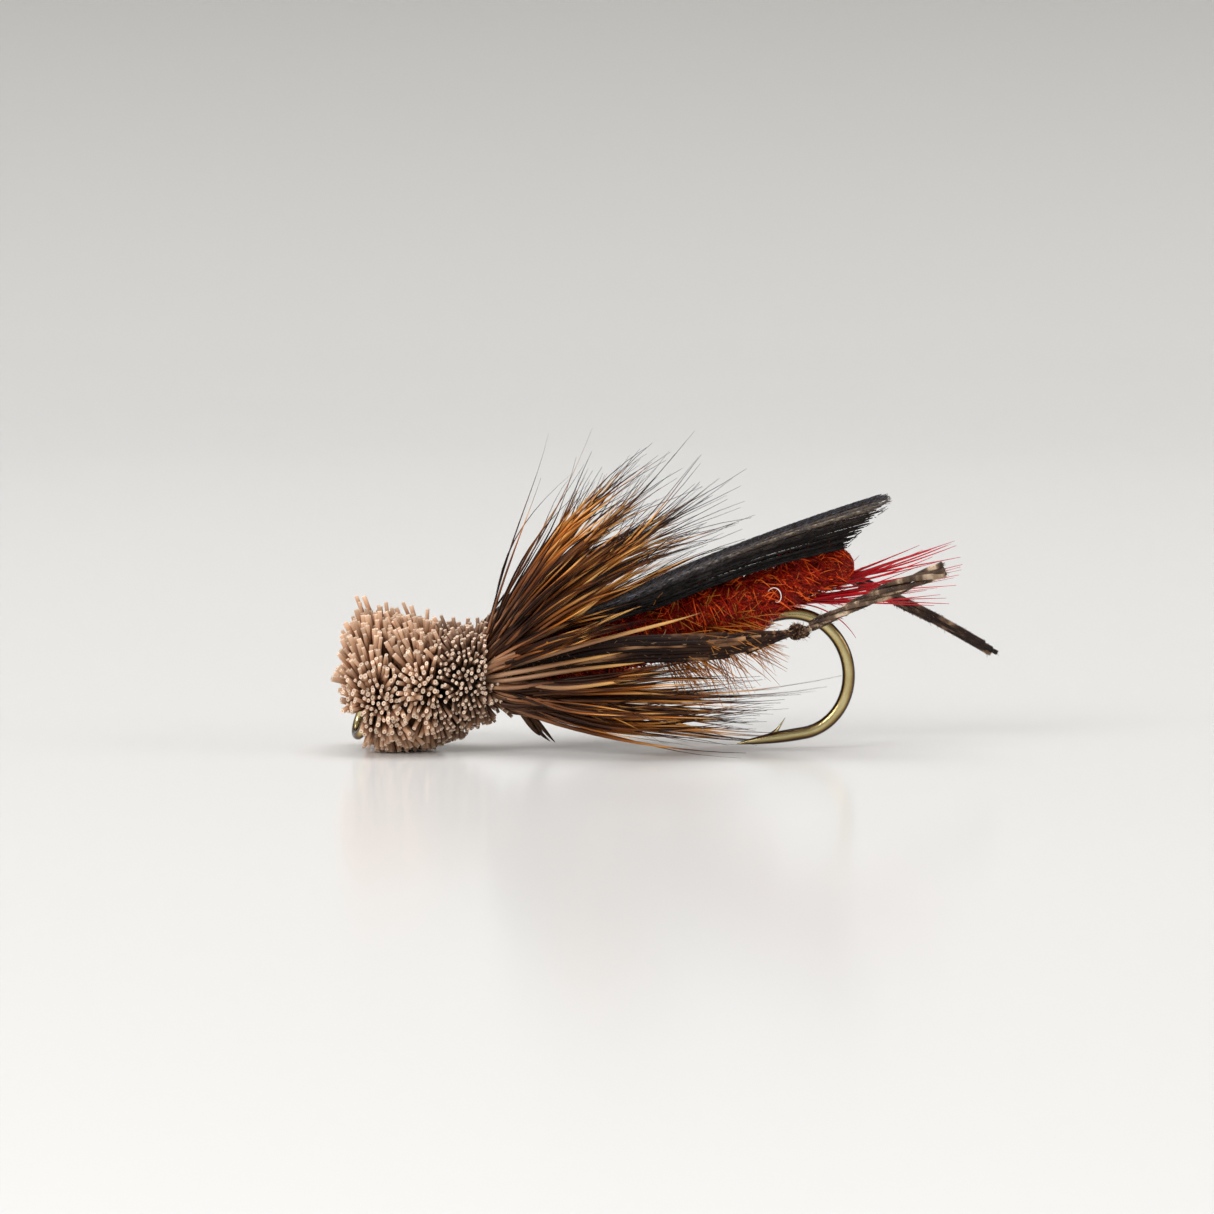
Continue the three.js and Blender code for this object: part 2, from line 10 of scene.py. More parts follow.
import bpy
import numpy as np
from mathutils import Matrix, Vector


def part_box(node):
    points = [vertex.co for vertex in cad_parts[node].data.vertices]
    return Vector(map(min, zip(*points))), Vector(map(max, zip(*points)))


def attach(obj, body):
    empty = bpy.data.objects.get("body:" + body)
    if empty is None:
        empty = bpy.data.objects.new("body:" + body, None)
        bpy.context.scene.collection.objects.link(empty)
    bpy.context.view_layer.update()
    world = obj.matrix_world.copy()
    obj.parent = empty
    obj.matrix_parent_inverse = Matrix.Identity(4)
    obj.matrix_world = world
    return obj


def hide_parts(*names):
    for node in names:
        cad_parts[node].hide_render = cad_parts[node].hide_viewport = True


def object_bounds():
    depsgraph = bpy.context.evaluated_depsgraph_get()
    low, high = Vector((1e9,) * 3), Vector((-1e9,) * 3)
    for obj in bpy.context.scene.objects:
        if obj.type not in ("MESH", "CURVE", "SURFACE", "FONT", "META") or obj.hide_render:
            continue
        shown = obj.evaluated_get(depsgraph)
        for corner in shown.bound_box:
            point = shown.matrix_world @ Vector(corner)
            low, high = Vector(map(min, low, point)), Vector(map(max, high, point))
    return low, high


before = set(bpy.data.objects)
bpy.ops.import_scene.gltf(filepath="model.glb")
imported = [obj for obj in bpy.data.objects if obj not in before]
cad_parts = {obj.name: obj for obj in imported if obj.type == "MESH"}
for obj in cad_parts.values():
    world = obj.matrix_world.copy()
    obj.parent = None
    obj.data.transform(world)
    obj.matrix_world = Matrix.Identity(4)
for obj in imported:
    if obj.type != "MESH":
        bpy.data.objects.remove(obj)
cad_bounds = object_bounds()

MM = 0.001
UV_LAYER = "OFBake"  # u picks a strand's column, v runs from its root to its tip
COLUMNS = 64
TAU = 2 * math.pi
SIDEWAYS = np.array([0.0, 1.0, 0.0])
UPWARD = np.array([0.0, 0.0, 1.0])


# ---- arithmetic ----

def rng_for(name):
    return np.random.default_rng(zlib.crc32(name.encode()))


def unit(vectors):
    return vectors / np.maximum(np.linalg.norm(vectors, axis=-1, keepdims=True), 1e-9)


def mix(a, b, t):
    return a + (b - a) * t


def smooth(x, low, high):
    t = np.clip((x - low) / (high - low), 0, 1)
    return t * t * (3 - 2 * t)


def bump(t):
    """0 at both ends and 1 in the middle."""
    return np.sin(np.pi * t)


def column(values):
    return np.asarray(values)[..., None]


def curve_between(start, control, end, s):
    """A quadratic curve from start to end that is drawn towards control."""
    return (1 - s) ** 2 * start + 2 * s * (1 - s) * control + s * s * end


# ---- measuring the CAD ----

def cad_centre(node):
    low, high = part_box(node)
    return np.array((low + high) / 2) / MM


def cad_box(node):
    """Lowest and highest corners of a CAD node, in millimetres."""
    return [np.array(corner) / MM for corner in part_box(node)]


def cad_samples(node, count):
    """Random points on a CAD node's surface with their outward normals, in millimetres."""
    rng = rng_for("samples of " + node)
    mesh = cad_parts[node].data
    mesh.calc_loop_triangles()
    corners = np.array([v.co for v in mesh.vertices]) / MM
    triangles = corners[np.array([t.vertices for t in mesh.loop_triangles])]
    normals = np.cross(triangles[:, 1] - triangles[:, 0], triangles[:, 2] - triangles[:, 0])
    areas = np.linalg.norm(normals, axis=1)
    pick = rng.choice(len(triangles), count, p=areas / areas.sum())
    a, b = np.sqrt(rng.random(count)), rng.random(count)
    weights = np.stack([1 - a, a * (1 - b), a * b], 1)
    return (triangles[pick] * weights[:, :, None]).sum(1), unit(normals[pick])


# The shank runs through the middle of the thread sleeves; along it, 0 is the root of the eye.
EYE_TO_WHIP_FINISH = 0.525
AXIS = unit(cad_centre("thread_underbody") - cad_centre("thread_whip_finish"))
ABOVE = np.cross(AXIS, SIDEWAYS)
SHANK_ROOT = cad_centre("thread_whip_finish") - EYE_TO_WHIP_FINISH * AXIS


def outward(angle):
    """The direction straight out from the shank, at an angle from the top to the near side."""
    return column(np.cos(angle)) * ABOVE - column(np.sin(angle)) * SIDEWAYS


def around_shank(along, out, angle):
    """A point by its distance along the shank and out from it, at an angle round it."""
    along, out, angle = np.broadcast_arrays(along, out, angle)
    return SHANK_ROOT + column(along) * AXIS + column(out) * outward(angle)


def heading(angle, flare):
    """The direction that leans out from the shank by flare, on the side given by angle."""
    angle, flare = np.broadcast_arrays(angle, flare)
    return column(np.cos(flare)) * AXIS + column(np.sin(flare)) * outward(angle)


class Spine:
    """A centreline with half sizes across and upwards; t runs along it from 0 to 1."""

    def __init__(self, t, centre, width, height):
        self.t, self.centre, self.width, self.height = t, centre, width, height
        ahead = unit(np.gradient(centre, axis=0))
        self.side = unit(SIDEWAYS - column(ahead @ SIDEWAYS) * ahead)
        up = np.cross(self.side, ahead)
        self.up = up * np.sign(up[:, 2:3])

    def _at(self, t, values):
        return np.stack([np.interp(t, self.t, values[:, i]) for i in range(3)], -1)

    def point(self, t, across, upward):
        """The point at t, at shares of the half width and the half height."""
        side = self._at(t, self.side) * column(np.interp(t, self.t, self.width))
        up = self._at(t, self.up) * column(np.interp(t, self.t, self.height))
        return self._at(t, self.centre) + column(across) * side + column(upward) * up

    def middle(self, t):
        return self._at(np.asarray(t), self.centre)

    def length(self):
        return np.linalg.norm(np.diff(self.centre, axis=0), axis=1).sum()


@functools.cache
def measured_spine(node, stations):
    """The spine of a long CAD node, measured on its outside in slices across its longest direction."""
    points, normals = cad_samples(node, 14000)
    middle = points.mean(0)
    axis = np.linalg.svd(points - middle, full_matrices=False)[2][0]
    axis = axis * np.sign(axis[0])
    along = (points - middle) @ axis
    place = (along - along.min()) / (along.max() - along.min()) * stations
    slices = np.minimum(place.astype(int), stations - 1)
    rough = np.array([points[slices == i].mean(0) for i in range(stations)])
    is_outside = (((points - rough[slices]) * normals).sum(1) > 0) & (np.abs(normals @ axis) < 0.8)
    outside = [points[is_outside & (slices == i)] for i in range(stations)]
    centre = np.array([ring.mean(0) for ring in outside])
    first = centre[0] - (centre[1] - centre[0]) / 2
    last = centre[-1] + (centre[-1] - centre[-2]) / 2
    t = np.concatenate([[0], (np.arange(stations) + 0.5) / stations, [1]])
    spine = Spine(t, np.vstack([first, centre, last]), np.ones(stations + 2), np.ones(stations + 2))
    away = [ring - spine.centre[i + 1] for i, ring in enumerate(outside)]
    across = [math.sqrt(2) * (a @ spine.side[i + 1]).std() for i, a in enumerate(away)]
    upward = [math.sqrt(2) * (a @ spine.up[i + 1]).std() for i, a in enumerate(away)]
    spine.width = np.array([across[0], *across, across[-1]])
    spine.height = np.array([upward[0], *upward, upward[-1]])
    return spine


# ---- strands ----

def carried_normals(ahead):
    """A sideways direction at each station that doesn't twist along the strand."""
    start = np.cross(ahead[:, 0], UPWARD + np.array([0.31, 0.17, 0.0]))
    normals = [unit(start)]
    for i in range(1, ahead.shape[1]):
        last = normals[-1]
        normals.append(unit(last - (last * ahead[:, i]).sum(-1, keepdims=True) * ahead[:, i]))
    return np.stack(normals, 1)


def tubes(paths, radii, sides=6, flat=1.0, normals=None, rng=None, columns=None, of=COLUMNS, v=None,
          blunt=False):
    """Closed tubes along paths of shape (strand, station, xyz); a flat tube is thin along its normals.

    Each takes one of the columns of the UV layer, at random unless they are given.
    """
    count, stations, _ = paths.shape
    ahead = unit(np.gradient(paths, axis=1))
    if normals is None:
        thin = carried_normals(ahead)
    else:
        thin = unit(normals - (normals * ahead).sum(-1, keepdims=True) * ahead)
    wide = np.cross(ahead, thin)
    turn = np.arange(sides) * TAU / sides
    ring = np.cos(turn)[:, None] * wide[:, :, None] + flat * np.sin(turn)[:, None] * thin[:, :, None]
    size = radii[..., None] if radii.ndim == 2 else radii
    rings = paths[:, :, None] + size[..., None] * ring
    verts = np.concatenate([rings.reshape(count, -1, 3), paths[:, :1], paths[:, -1:]], 1)

    k = np.arange(sides)
    after = (k + 1) % sides
    row = np.arange(stations - 1)[:, None] * sides
    quads = np.stack([row + k, row + k + sides, row + after + sides, row + after], -1).reshape(-1, 4)
    ends = stations * sides
    last = ends - sides
    root_fan = np.stack([k, after, np.full(sides, ends)], -1)
    tip_fan = np.stack([last + after, last + k, np.full(sides, ends + 1)], -1)
    shift = (np.arange(count) * (ends + 2))[:, None, None]

    if columns is None:
        rng = rng or rng_for(f"columns {count} {stations}")
        columns = rng.integers(0, of, count)
    fold = 1 - np.abs(2 * k / sides - 1)
    along = np.linspace(0.01, 0.97, stations) if v is None else v
    u = np.concatenate([np.tile(fold, stations), [0.5, 0.5]])
    v = np.concatenate([np.repeat(along, sides), [along[0] - 0.01, along[-1] + 0.03]])
    u = (columns[:, None] + 0.1 + 0.8 * u) / of
    uv = np.stack([u, np.broadcast_to(v, u.shape)], -1)
    return {
        "verts": verts.reshape(-1, 3),
        "quads": (quads + shift).reshape(-1, 4),
        "tris": (np.concatenate([root_fan, tip_fan]) + shift).reshape(-1, 3),
        "uv": uv.reshape(-1, 2),
        "blunt": blunt,
    }


def build_mesh(name, parts):
    """One mesh out of several sets of tubes."""
    starts = np.cumsum([0] + [len(p["verts"]) for p in parts])
    verts = np.concatenate([p["verts"] for p in parts]) * MM
    uv = np.concatenate([p["uv"] for p in parts])
    quads = np.concatenate([p["quads"] + s for p, s in zip(parts, starts)])
    tris = np.concatenate([p["tris"] + s for p, s in zip(parts, starts)])
    smooth_ends = np.concatenate([np.full(len(p["tris"]), not p["blunt"]) for p in parts])
    loops = np.concatenate([quads.ravel(), tris.ravel()]).astype(np.int32)
    loop_starts = np.concatenate([np.arange(len(quads)) * 4, 4 * len(quads) + np.arange(len(tris)) * 3])
    mesh = bpy.data.meshes.new(name)
    mesh.vertices.add(len(verts))
    mesh.vertices.foreach_set("co", verts.astype(np.float32).ravel())
    mesh.loops.add(len(loops))
    mesh.loops.foreach_set("vertex_index", loops)
    mesh.polygons.add(len(loop_starts))
    mesh.polygons.foreach_set("loop_start", loop_starts.astype(np.int32))
    mesh.update(calc_edges=True)
    mesh.polygons.foreach_set("use_smooth", np.concatenate([np.ones(len(quads), bool), smooth_ends]))
    layer = mesh.uv_layers.new(name=UV_LAYER)
    layer.data.foreach_set("uv", uv[loops].astype(np.float32).ravel())
    return mesh


def add_object(name, data):
    obj = bpy.data.objects.new(name, data)
    bpy.context.scene.collection.objects.link(obj)
    return obj


def piece(name, parts, material, stands_for=(), body="dressed_hook"):
    """A visible piece that rides on a CAD body and takes the place of some CAD nodes."""
    obj = add_object(name, build_mesh(name, parts))
    obj.data.materials.append(material)
    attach(obj, body)
    if stands_for:
        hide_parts(*stands_for)


def taper(t, *stops):
    """A thickness profile through (share of the length, thickness) stops."""
    places, values = zip(*stops)
    return np.interp(t, places, values)


def sprouts(paths, count, length, lean, rng, to_t=1.0):
    """Short curved fibres that grow out of strands, up to to_t along them, at lean degrees from them."""
    strand = rng.integers(0, len(paths), count)
    place = rng.uniform(0, to_t, count) * (paths.shape[1] - 1.001)
    before = place.astype(int)
    rest = column(place - before)
    root = mix(paths[strand, before], paths[strand, before + 1], rest)
    ahead = unit(paths[strand, before + 1] - paths[strand, before])
    random = rng.normal(size=(count, 3))
    out = unit(random - (random * ahead).sum(-1, keepdims=True) * ahead)
    angle = np.radians(lean) * rng.uniform(0.6, 1.4, count)
    reach = length * rng.uniform(0.4, 1.0, count)
    t = np.linspace(0, 1, 3)[None, :, None]
    away = column(np.sin(angle)) * out
    on = column(np.cos(angle)) * ahead
    curl = rng.normal(0, 0.25, (count, 1, 3)) * t * t
    step = away[:, None] * t + on[:, None] * t * (0.6 + 0.4 * t) + curl
    return root[:, None] + reach[:, None, None] * step


# ---- materials ----

def linear(colour):
    """An sRGB colour, written as six hexadecimal digits, as linear RGBA."""
    share = np.array(list(bytes.fromhex(colour))) / 255
    rgb = np.where(share <= 0.04045, share / 12.92, ((share + 0.055) / 1.055) ** 2.4)
    return (*[float(c) for c in rgb], 1.0)


class Shader:
    """A procedural material, built one node at a time."""

    def __init__(self, name):
        self.material = bpy.data.materials.new(name)
        self.material.use_nodes = True
        self.tree = self.material.node_tree
        self.bsdf = self.tree.nodes["Principled BSDF"]

    def node(self, kind):
        return self.tree.nodes.new("ShaderNode" + kind)

    def plug(self, value, socket):
        if isinstance(value, bpy.types.NodeSocket):
            self.tree.links.new(value, socket)
        else:
            socket.default_value = value

    def math(self, operation, *values):
        node = self.node("Math")
        node.operation = operation
        for value, socket in zip(values, node.inputs):
            self.plug(value, socket)
        return node.outputs[0]

    def ramp(self, factor, stops):
        node = self.node("ValToRGB")
        elements = node.color_ramp.elements
        while len(elements) < len(stops):
            elements.new(0.5)
        for element, (position, colour) in zip(elements, stops):
            element.position = position
            element.color = linear(colour)
        self.plug(factor, node.inputs[0])
        return node.outputs[0]

    def blend(self, mode, factor, a, b):
        node = self.node("Mix")
        node.data_type = "RGBA"
        node.blend_type = mode
        self.plug(factor, node.inputs[0])
        self.plug(a, node.inputs[6])
        self.plug(b, node.inputs[7])
        return node.outputs[2]

    def grey(self, value):
        node = self.node("CombineColor")
        for socket in node.inputs:
            self.plug(value, socket)
        return node.outputs[0]

    def split(self, vector):
        node = self.node("SeparateXYZ")
        self.plug(vector, node.inputs[0])
        return node.outputs

    def strand_uv(self):
        node = self.node("UVMap")
        node.uv_map = UV_LAYER
        u, v, _ = self.split(node.outputs[0])
        return u, v

    def place(self):
        """The point's place in the object, which is its place in the CAD's frame, in metres."""
        return self.node("TexCoord").outputs["Object"]

    def dice(self, value):
        """Three random numbers from 0 to 1 that depend only on the value."""
        node = self.node("TexWhiteNoise")
        node.noise_dimensions = "1D"
        self.plug(value, node.inputs["W"])
        split = self.node("SeparateColor")
        self.tree.links.new(node.outputs["Color"], split.inputs[0])
        return split.outputs[0], split.outputs[1], split.outputs[2]

    def noise(self, vector, scale, detail=3.0):
        node = self.node("TexNoise")
        self.plug(vector, node.inputs["Vector"])
        node.inputs["Scale"].default_value = scale
        node.inputs["Detail"].default_value = detail
        return node.outputs[0]

    def vector(self, x, y, z):
        node = self.node("CombineXYZ")
        for value, socket in zip((x, y, z), node.inputs):
            self.plug(value, socket)
        return node.outputs[0]

    def finish(self, colour, roughness, height=None, bump_mm=0.01, **inputs):
        self.plug(colour, self.bsdf.inputs["Base Color"])
        self.plug(roughness, self.bsdf.inputs["Roughness"])
        for name, value in inputs.items():
            self.plug(value, self.bsdf.inputs[name.replace("_", " ")])
        if height is not None:
            node = self.node("Bump")
            node.inputs["Distance"].default_value = bump_mm * MM
            self.plug(height, node.inputs["Height"])
            self.tree.links.new(node.outputs[0], self.bsdf.inputs["Normal"])
        return self.material


def strand_material(name, stops, roughness, other_stops=None, slide=0.15, vary=0.3, grain=0.35,
                    grain_scale=9.0, pick="root_to_tip", shine=0.2):
    """Strand colours: from root to tip, from strand to strand, or in mottled patches.

    Some strands take other_stops in place of stops, and each one differs a little in brightness.
    """
    shader = Shader(name)
    u, v = shader.strand_uv()
    strand = shader.math("FLOOR", shader.math("MULTIPLY", u, float(COLUMNS)))
    first, second, third = shader.dice(strand)
    spot = shader.vector(shader.math("MULTIPLY", strand, 3.7), shader.math("MULTIPLY", v, grain_scale), u)
    mottle = shader.noise(spot, 1.0)
    if pick == "strand":
        place = shader.math("MULTIPLY_ADD", v, slide, first)
    elif pick == "patches":
        place = shader.math("MULTIPLY_ADD", mottle, 3.2, -1.1)
    else:
        place = shader.math("ADD", v, shader.math("MULTIPLY_ADD", first, slide, -slide / 2))
    base = shader.ramp(place, stops)
    if other_stops:
        is_other = shader.math("GREATER_THAN", third, 0.48)
        base = shader.blend("MIX", is_other, base, shader.ramp(place, other_stops))
    strength = shader.math("MULTIPLY_ADD", mottle, grain, 1 - grain / 2)
    strength = shader.math("MULTIPLY", strength, shader.math("MULTIPLY_ADD", second, vary, 1 - vary / 2))
    colour = shader.blend("MULTIPLY", 1.0, base, shader.grey(strength))
    gloss = shader.math("MULTIPLY_ADD", mottle, 0.2, roughness - 0.1)
    return shader.finish(colour, gloss, height=mottle, Specular_IOR_Level=shine)


# Cut hair is darkest at the root and pales towards the cut end: painted shade deep between the hairs
FRONT_HAIR = strand_material(
    "cut_hair_front",
    [(0.0, "28160d"), (0.35, "4c2e1e"), (0.65, "865e44"), (0.88, "bc9375"), (0.955, "d0aa8c"),
     (0.972, "f4dcc6"), (0.985, "e0c2a8"), (1.0, "8e6850")],
    roughness=0.5, slide=0.0, vary=0.65, grain=0.45, shine=0.15,
)
REAR_HAIR = strand_material(
    "cut_hair_rear",
    [(0.0, "1e120c"), (0.5, "3a271c"), (0.82, "765844"), (0.95, "a07e67"), (0.972, "f4dcc6"),
     (0.985, "e6cab2"), (1.0, "96725a")],
    roughness=0.5, slide=0.0, vary=0.5, grain=0.3, shine=0.15,
)
# The golden band near the tips is the hair's own banding brightened into a painted highlight; other_stops are
# a darker copy with a muted band, painted shade for strands the light misses
COLLAR_HAIR = strand_material(
    "collar_hair",
    [(0.0, "c09676"), (0.2, "ac7e5e"), (0.38, "7c4c2d"), (0.56, "6a3a1a"), (0.67, "b66a26"),
     (0.76, "ecaa5c"), (0.83, "623616"), (0.9, "180e0a"), (1.0, "0b0807")],
    other_stops=[(0.0, "825c42"), (0.16, "462919"), (0.42, "241107"), (0.68, "361909"),
                 (0.77, "703c15"), (0.84, "1e110a"), (1.0, "0a0807")],
    roughness=0.36, slide=0.24, vary=0.9, grain=0.6, shine=0.15,
)
PALE_HAIR = strand_material(
    "pale_collar_hair",
    [(0.0, "bc9476"), (0.6, "ac7e5a"), (0.84, "e2ac64"), (1.0, "96602c")],
    roughness=0.4, slide=0.05, vary=0.2, shine=0.2,
)
# Rust tones vary from fibre to fibre; the darkest fibres and the strong mottling add painted shade, the
# brightest stop a painted highlight
YARN = strand_material(
    "rust_yarn",
    [(0.0, "2c0201"), (0.3, "6c0a02"), (0.65, "aa1803"), (0.9, "d83207"), (1.0, "f66c22")],
    roughness=0.45, slide=0.2, vary=0.7, grain=0.8, grain_scale=5.0, pick="strand", shine=0.2,
)
YARN_SHADOW = strand_material(
    "rust_yarn_base", [(0.0, "380601"), (1.0, "580c02")], roughness=0.8, pick="strand", shine=0.1,
)
RED_FIBRE = strand_material(
    "red_tail_fibre", [(0.0, "96020a"), (0.5, "c60516"), (1.0, "c0162a")],
    roughness=0.35, vary=0.5, shine=0.3,
)
GINGER = strand_material(
    "ginger_hackle", [(0.0, "622d09"), (0.35, "b2641a"), (1.0, "d28834")],
    roughness=0.4, vary=0.6, shine=0.3,
)
LEG_BARB = strand_material(
    "leg_fibre",
    [(0.0, "1b0c07"), (0.5, "2b170e"), (0.7, "3c2417"), (0.84, "886042"), (1.0, "bc9068")],
    roughness=0.6, vary=0.5, grain_scale=3.2, pick="patches",
)
LEG_FUZZ = strand_material(
    "leg_barbule", [(0.0, "21110b"), (0.5, "362217"), (0.8, "6c4e36"), (1.0, "b48e6a")],
    roughness=0.6, slide=0.25, vary=0.7, pick="strand",
)
SHIN_BARB = strand_material(
    "shin_fibre",
    [(0.0, "2e211a"), (0.45, "4c392d"), (0.68, "66503f"), (0.86, "a2886e"), (1.0, "c4ac92")],
    roughness=0.6, vary=0.4, grain_scale=9.0, pick="patches",
)
DARK_SHIN = strand_material(
    "dark_shin_fibre",
    [(0.0, "180f0c"), (0.5, "2e1f18"), (0.75, "4e392c"), (1.0, "8c7159")],
    roughness=0.55, vary=0.7, grain_scale=5.0, pick="patches",
)
THREAD = strand_material(
    "pale_thread", [(0.0, "cebea8"), (1.0, "baa892")],
    roughness=0.5, vary=0.25, grain_scale=160.0, pick="strand", shine=0.4,
)
BUTT_HAIR = strand_material(
    "trimmed_hair", [(0.0, "684830"), (0.6, "4a301e"), (1.0, "322015")],
    roughness=0.5, slide=0.2, vary=0.4,
)
WHITE_FIBRE = strand_material(
    "white_fibre", [(0.0, "f4eee8"), (1.0, "ece2d8")], roughness=0.4, vary=0.1, shine=0.5,
)

WING_HALF = 26  # barbs from the ridge to each edge


def wing_material():
    """Painted sheen, slate with pale granules, over the ridge; a pale painted highlight on the fold; dark
    panels.
    """
    shader = Shader("wing_quill")
    u, v = shader.strand_uv()
    off = shader.math("MULTIPLY", shader.math("ABSOLUTE", shader.math("SUBTRACT", u, 0.5)), 2.0)
    # the slate band over the ridge is painted sheen; the near-black beyond is the quill's dark brown deepened
    # with painted shade
    front = shader.ramp(off, [(0.0, "5c5f6b"), (0.4, "646671"), (0.52, "4c4848"), (0.6, "1b1513"),
                              (1.0, "0c0807")])
    # towards the rear the pale stop at 0.4 is a painted highlight along the fold
    rear = shader.ramp(off, [(0.0, "38302c"), (0.3, "423831"), (0.4, "7a6c5c"), (0.48, "342821"),
                             (0.6, "160f0c"), (1.0, "0d0907")])
    towards_rear = shader.math("MULTIPLY_ADD", v, 3.0, -1.0)
    towards_rear.node.use_clamp = True
    base = shader.blend("MIX", towards_rear, front, rear)
    barb = shader.math("FLOOR", shader.math("MULTIPLY", u, 2.0 * WING_HALF))
    first = shader.dice(barb)[0]
    spot = shader.vector(shader.math("MULTIPLY", u, 30.0), shader.math("MULTIPLY", v, 95.0), first)
    granules = shader.noise(spot, 1.0, 3.0)
    strength = shader.math("MULTIPLY_ADD", granules, 4.4, -1.2)
    strength = shader.math("MULTIPLY", strength, shader.math("MULTIPLY_ADD", first, 0.6, 0.7))
    colour = shader.blend("MULTIPLY", 1.0, base, shader.grey(strength))
    return shader.finish(colour, 0.5, height=granules, bump_mm=0.03, Specular_IOR_Level=0.15)


def bronze_material():
    """Bronze lacquer, pale with painted highlight where it faces the viewer and on the eye, darker at the
    edges.
    """
    shader = Shader("bronze_wire")
    edge = shader.node("LayerWeight")
    edge.inputs["Blend"].default_value = 0.6
    place = shader.place()
    cloud = shader.noise(place, 900.0)
    # rises from 0 behind the hook's eye to 1 on it: a painted highlight that makes the eye paler
    eye_highlight = shader.math("MULTIPLY_ADD", shader.split(place)[0], -1.5 / MM, -1.2)
    eye_highlight.node.use_clamp = True
    # pale where the wire faces the viewer: painted highlight; dark at the edges: partly the lacquer, partly
    # painted shade
    facing = shader.math("MULTIPLY_ADD", cloud, 0.22, shader.math("SUBTRACT", edge.outputs["Facing"], 0.11))
    facing = shader.math("MULTIPLY_ADD", eye_highlight, -0.35, facing)
    colour = shader.ramp(facing, [(0.0, "c6b886"), (0.12, "9e864e"), (0.26, "624620"),
                                  (0.44, "2c1b0d"), (1.0, "100a06")])
    rough = shader.math("MULTIPLY_ADD", cloud, 0.2, 0.14)
    return shader.finish(colour, rough, height=cloud, bump_mm=0.004, Metallic=0.85, Coat_Weight=0.4,
                         Coat_Roughness=0.08)


# ---- clipped head ----

HEAD_BUNCHES = np.array([0.6, 2.95, 5.15])  # where hair was spun on, along the shank
HAIR_VISIBLE = 3.0  # the most of a hair that is modelled, from its cut end inwards
HEAD_CORE = 0.64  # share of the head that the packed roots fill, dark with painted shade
SIDE_THINNING = 0.68  # share of the hairs that don't end on the side, far from their burst's middle
EYE_CLEARING = (-1.5, 2.2)  # hair is cut away in front of this x and below this height
EYE_NOTCH = (-0.9, 1.37, 2.97)  # and in front of this x, within this half width and below this height
BORE_CLEARANCE = 0.9  # tips are placed further than this from the middle of the shank
HEAD_OFF_FLOOR = 0.02  # between the floor and the head's lowest cut ends
SAMPLES_OF_HEAD = 30000
HEAD_SPLIT = (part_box("head_front")[1][0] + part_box("head_rear")[0][0]) / 2 / MM


def spaced(points, gap):
    """Indices of points that keep a gap between them."""
    kept, cells = [], {}
    keys = np.floor(points / gap).astype(int)
    near = [(x, y, z) for x in (-1, 0, 1) for y in (-1, 0, 1) for z in (-1, 0, 1)]
    for i, (point, key) in enumerate(zip(points, map(tuple, keys))):
        others = [j for d in near for j in cells.get((key[0] + d[0], key[1] + d[1], key[2] + d[2]), ())]
        if all(((points[j] - point) ** 2).sum() > gap * gap for j in others):
            kept.append(i)
            cells.setdefault(key, []).append(i)
    return np.array(kept)


def head_tips(node, gap):
    """Where hairs end on the clipped surface, but not in the bore, the inner faces or the eye's clearing."""
    points, normals = cad_samples(node, SAMPLES_OF_HEAD)
    away = points - SHANK_ROOT
    out = np.linalg.norm(away - column(away @ AXIS) * AXIS, axis=1)
    in_clearing = (points[:, 0] < EYE_CLEARING[0]) & (points[:, 2] < EYE_CLEARING[1])
    x, half_width, height = EYE_NOTCH
    in_notch = (np.abs(points[:, 1]) < half_width) & (points[:, 2] < height) & (points[:, 0] < x)
    near_split = np.abs(points[:, 0] - HEAD_SPLIT) < 0.1
    inner_face = near_split & (np.abs(normals[:, 0]) > 0.9)
    usable = (out > BORE_CLEARANCE) & ~in_clearing & ~in_notch & ~inner_face
    points, normals = points[usable], normals[usable]
    kept = spaced(points, gap)
    return points[kept], normals[kept]


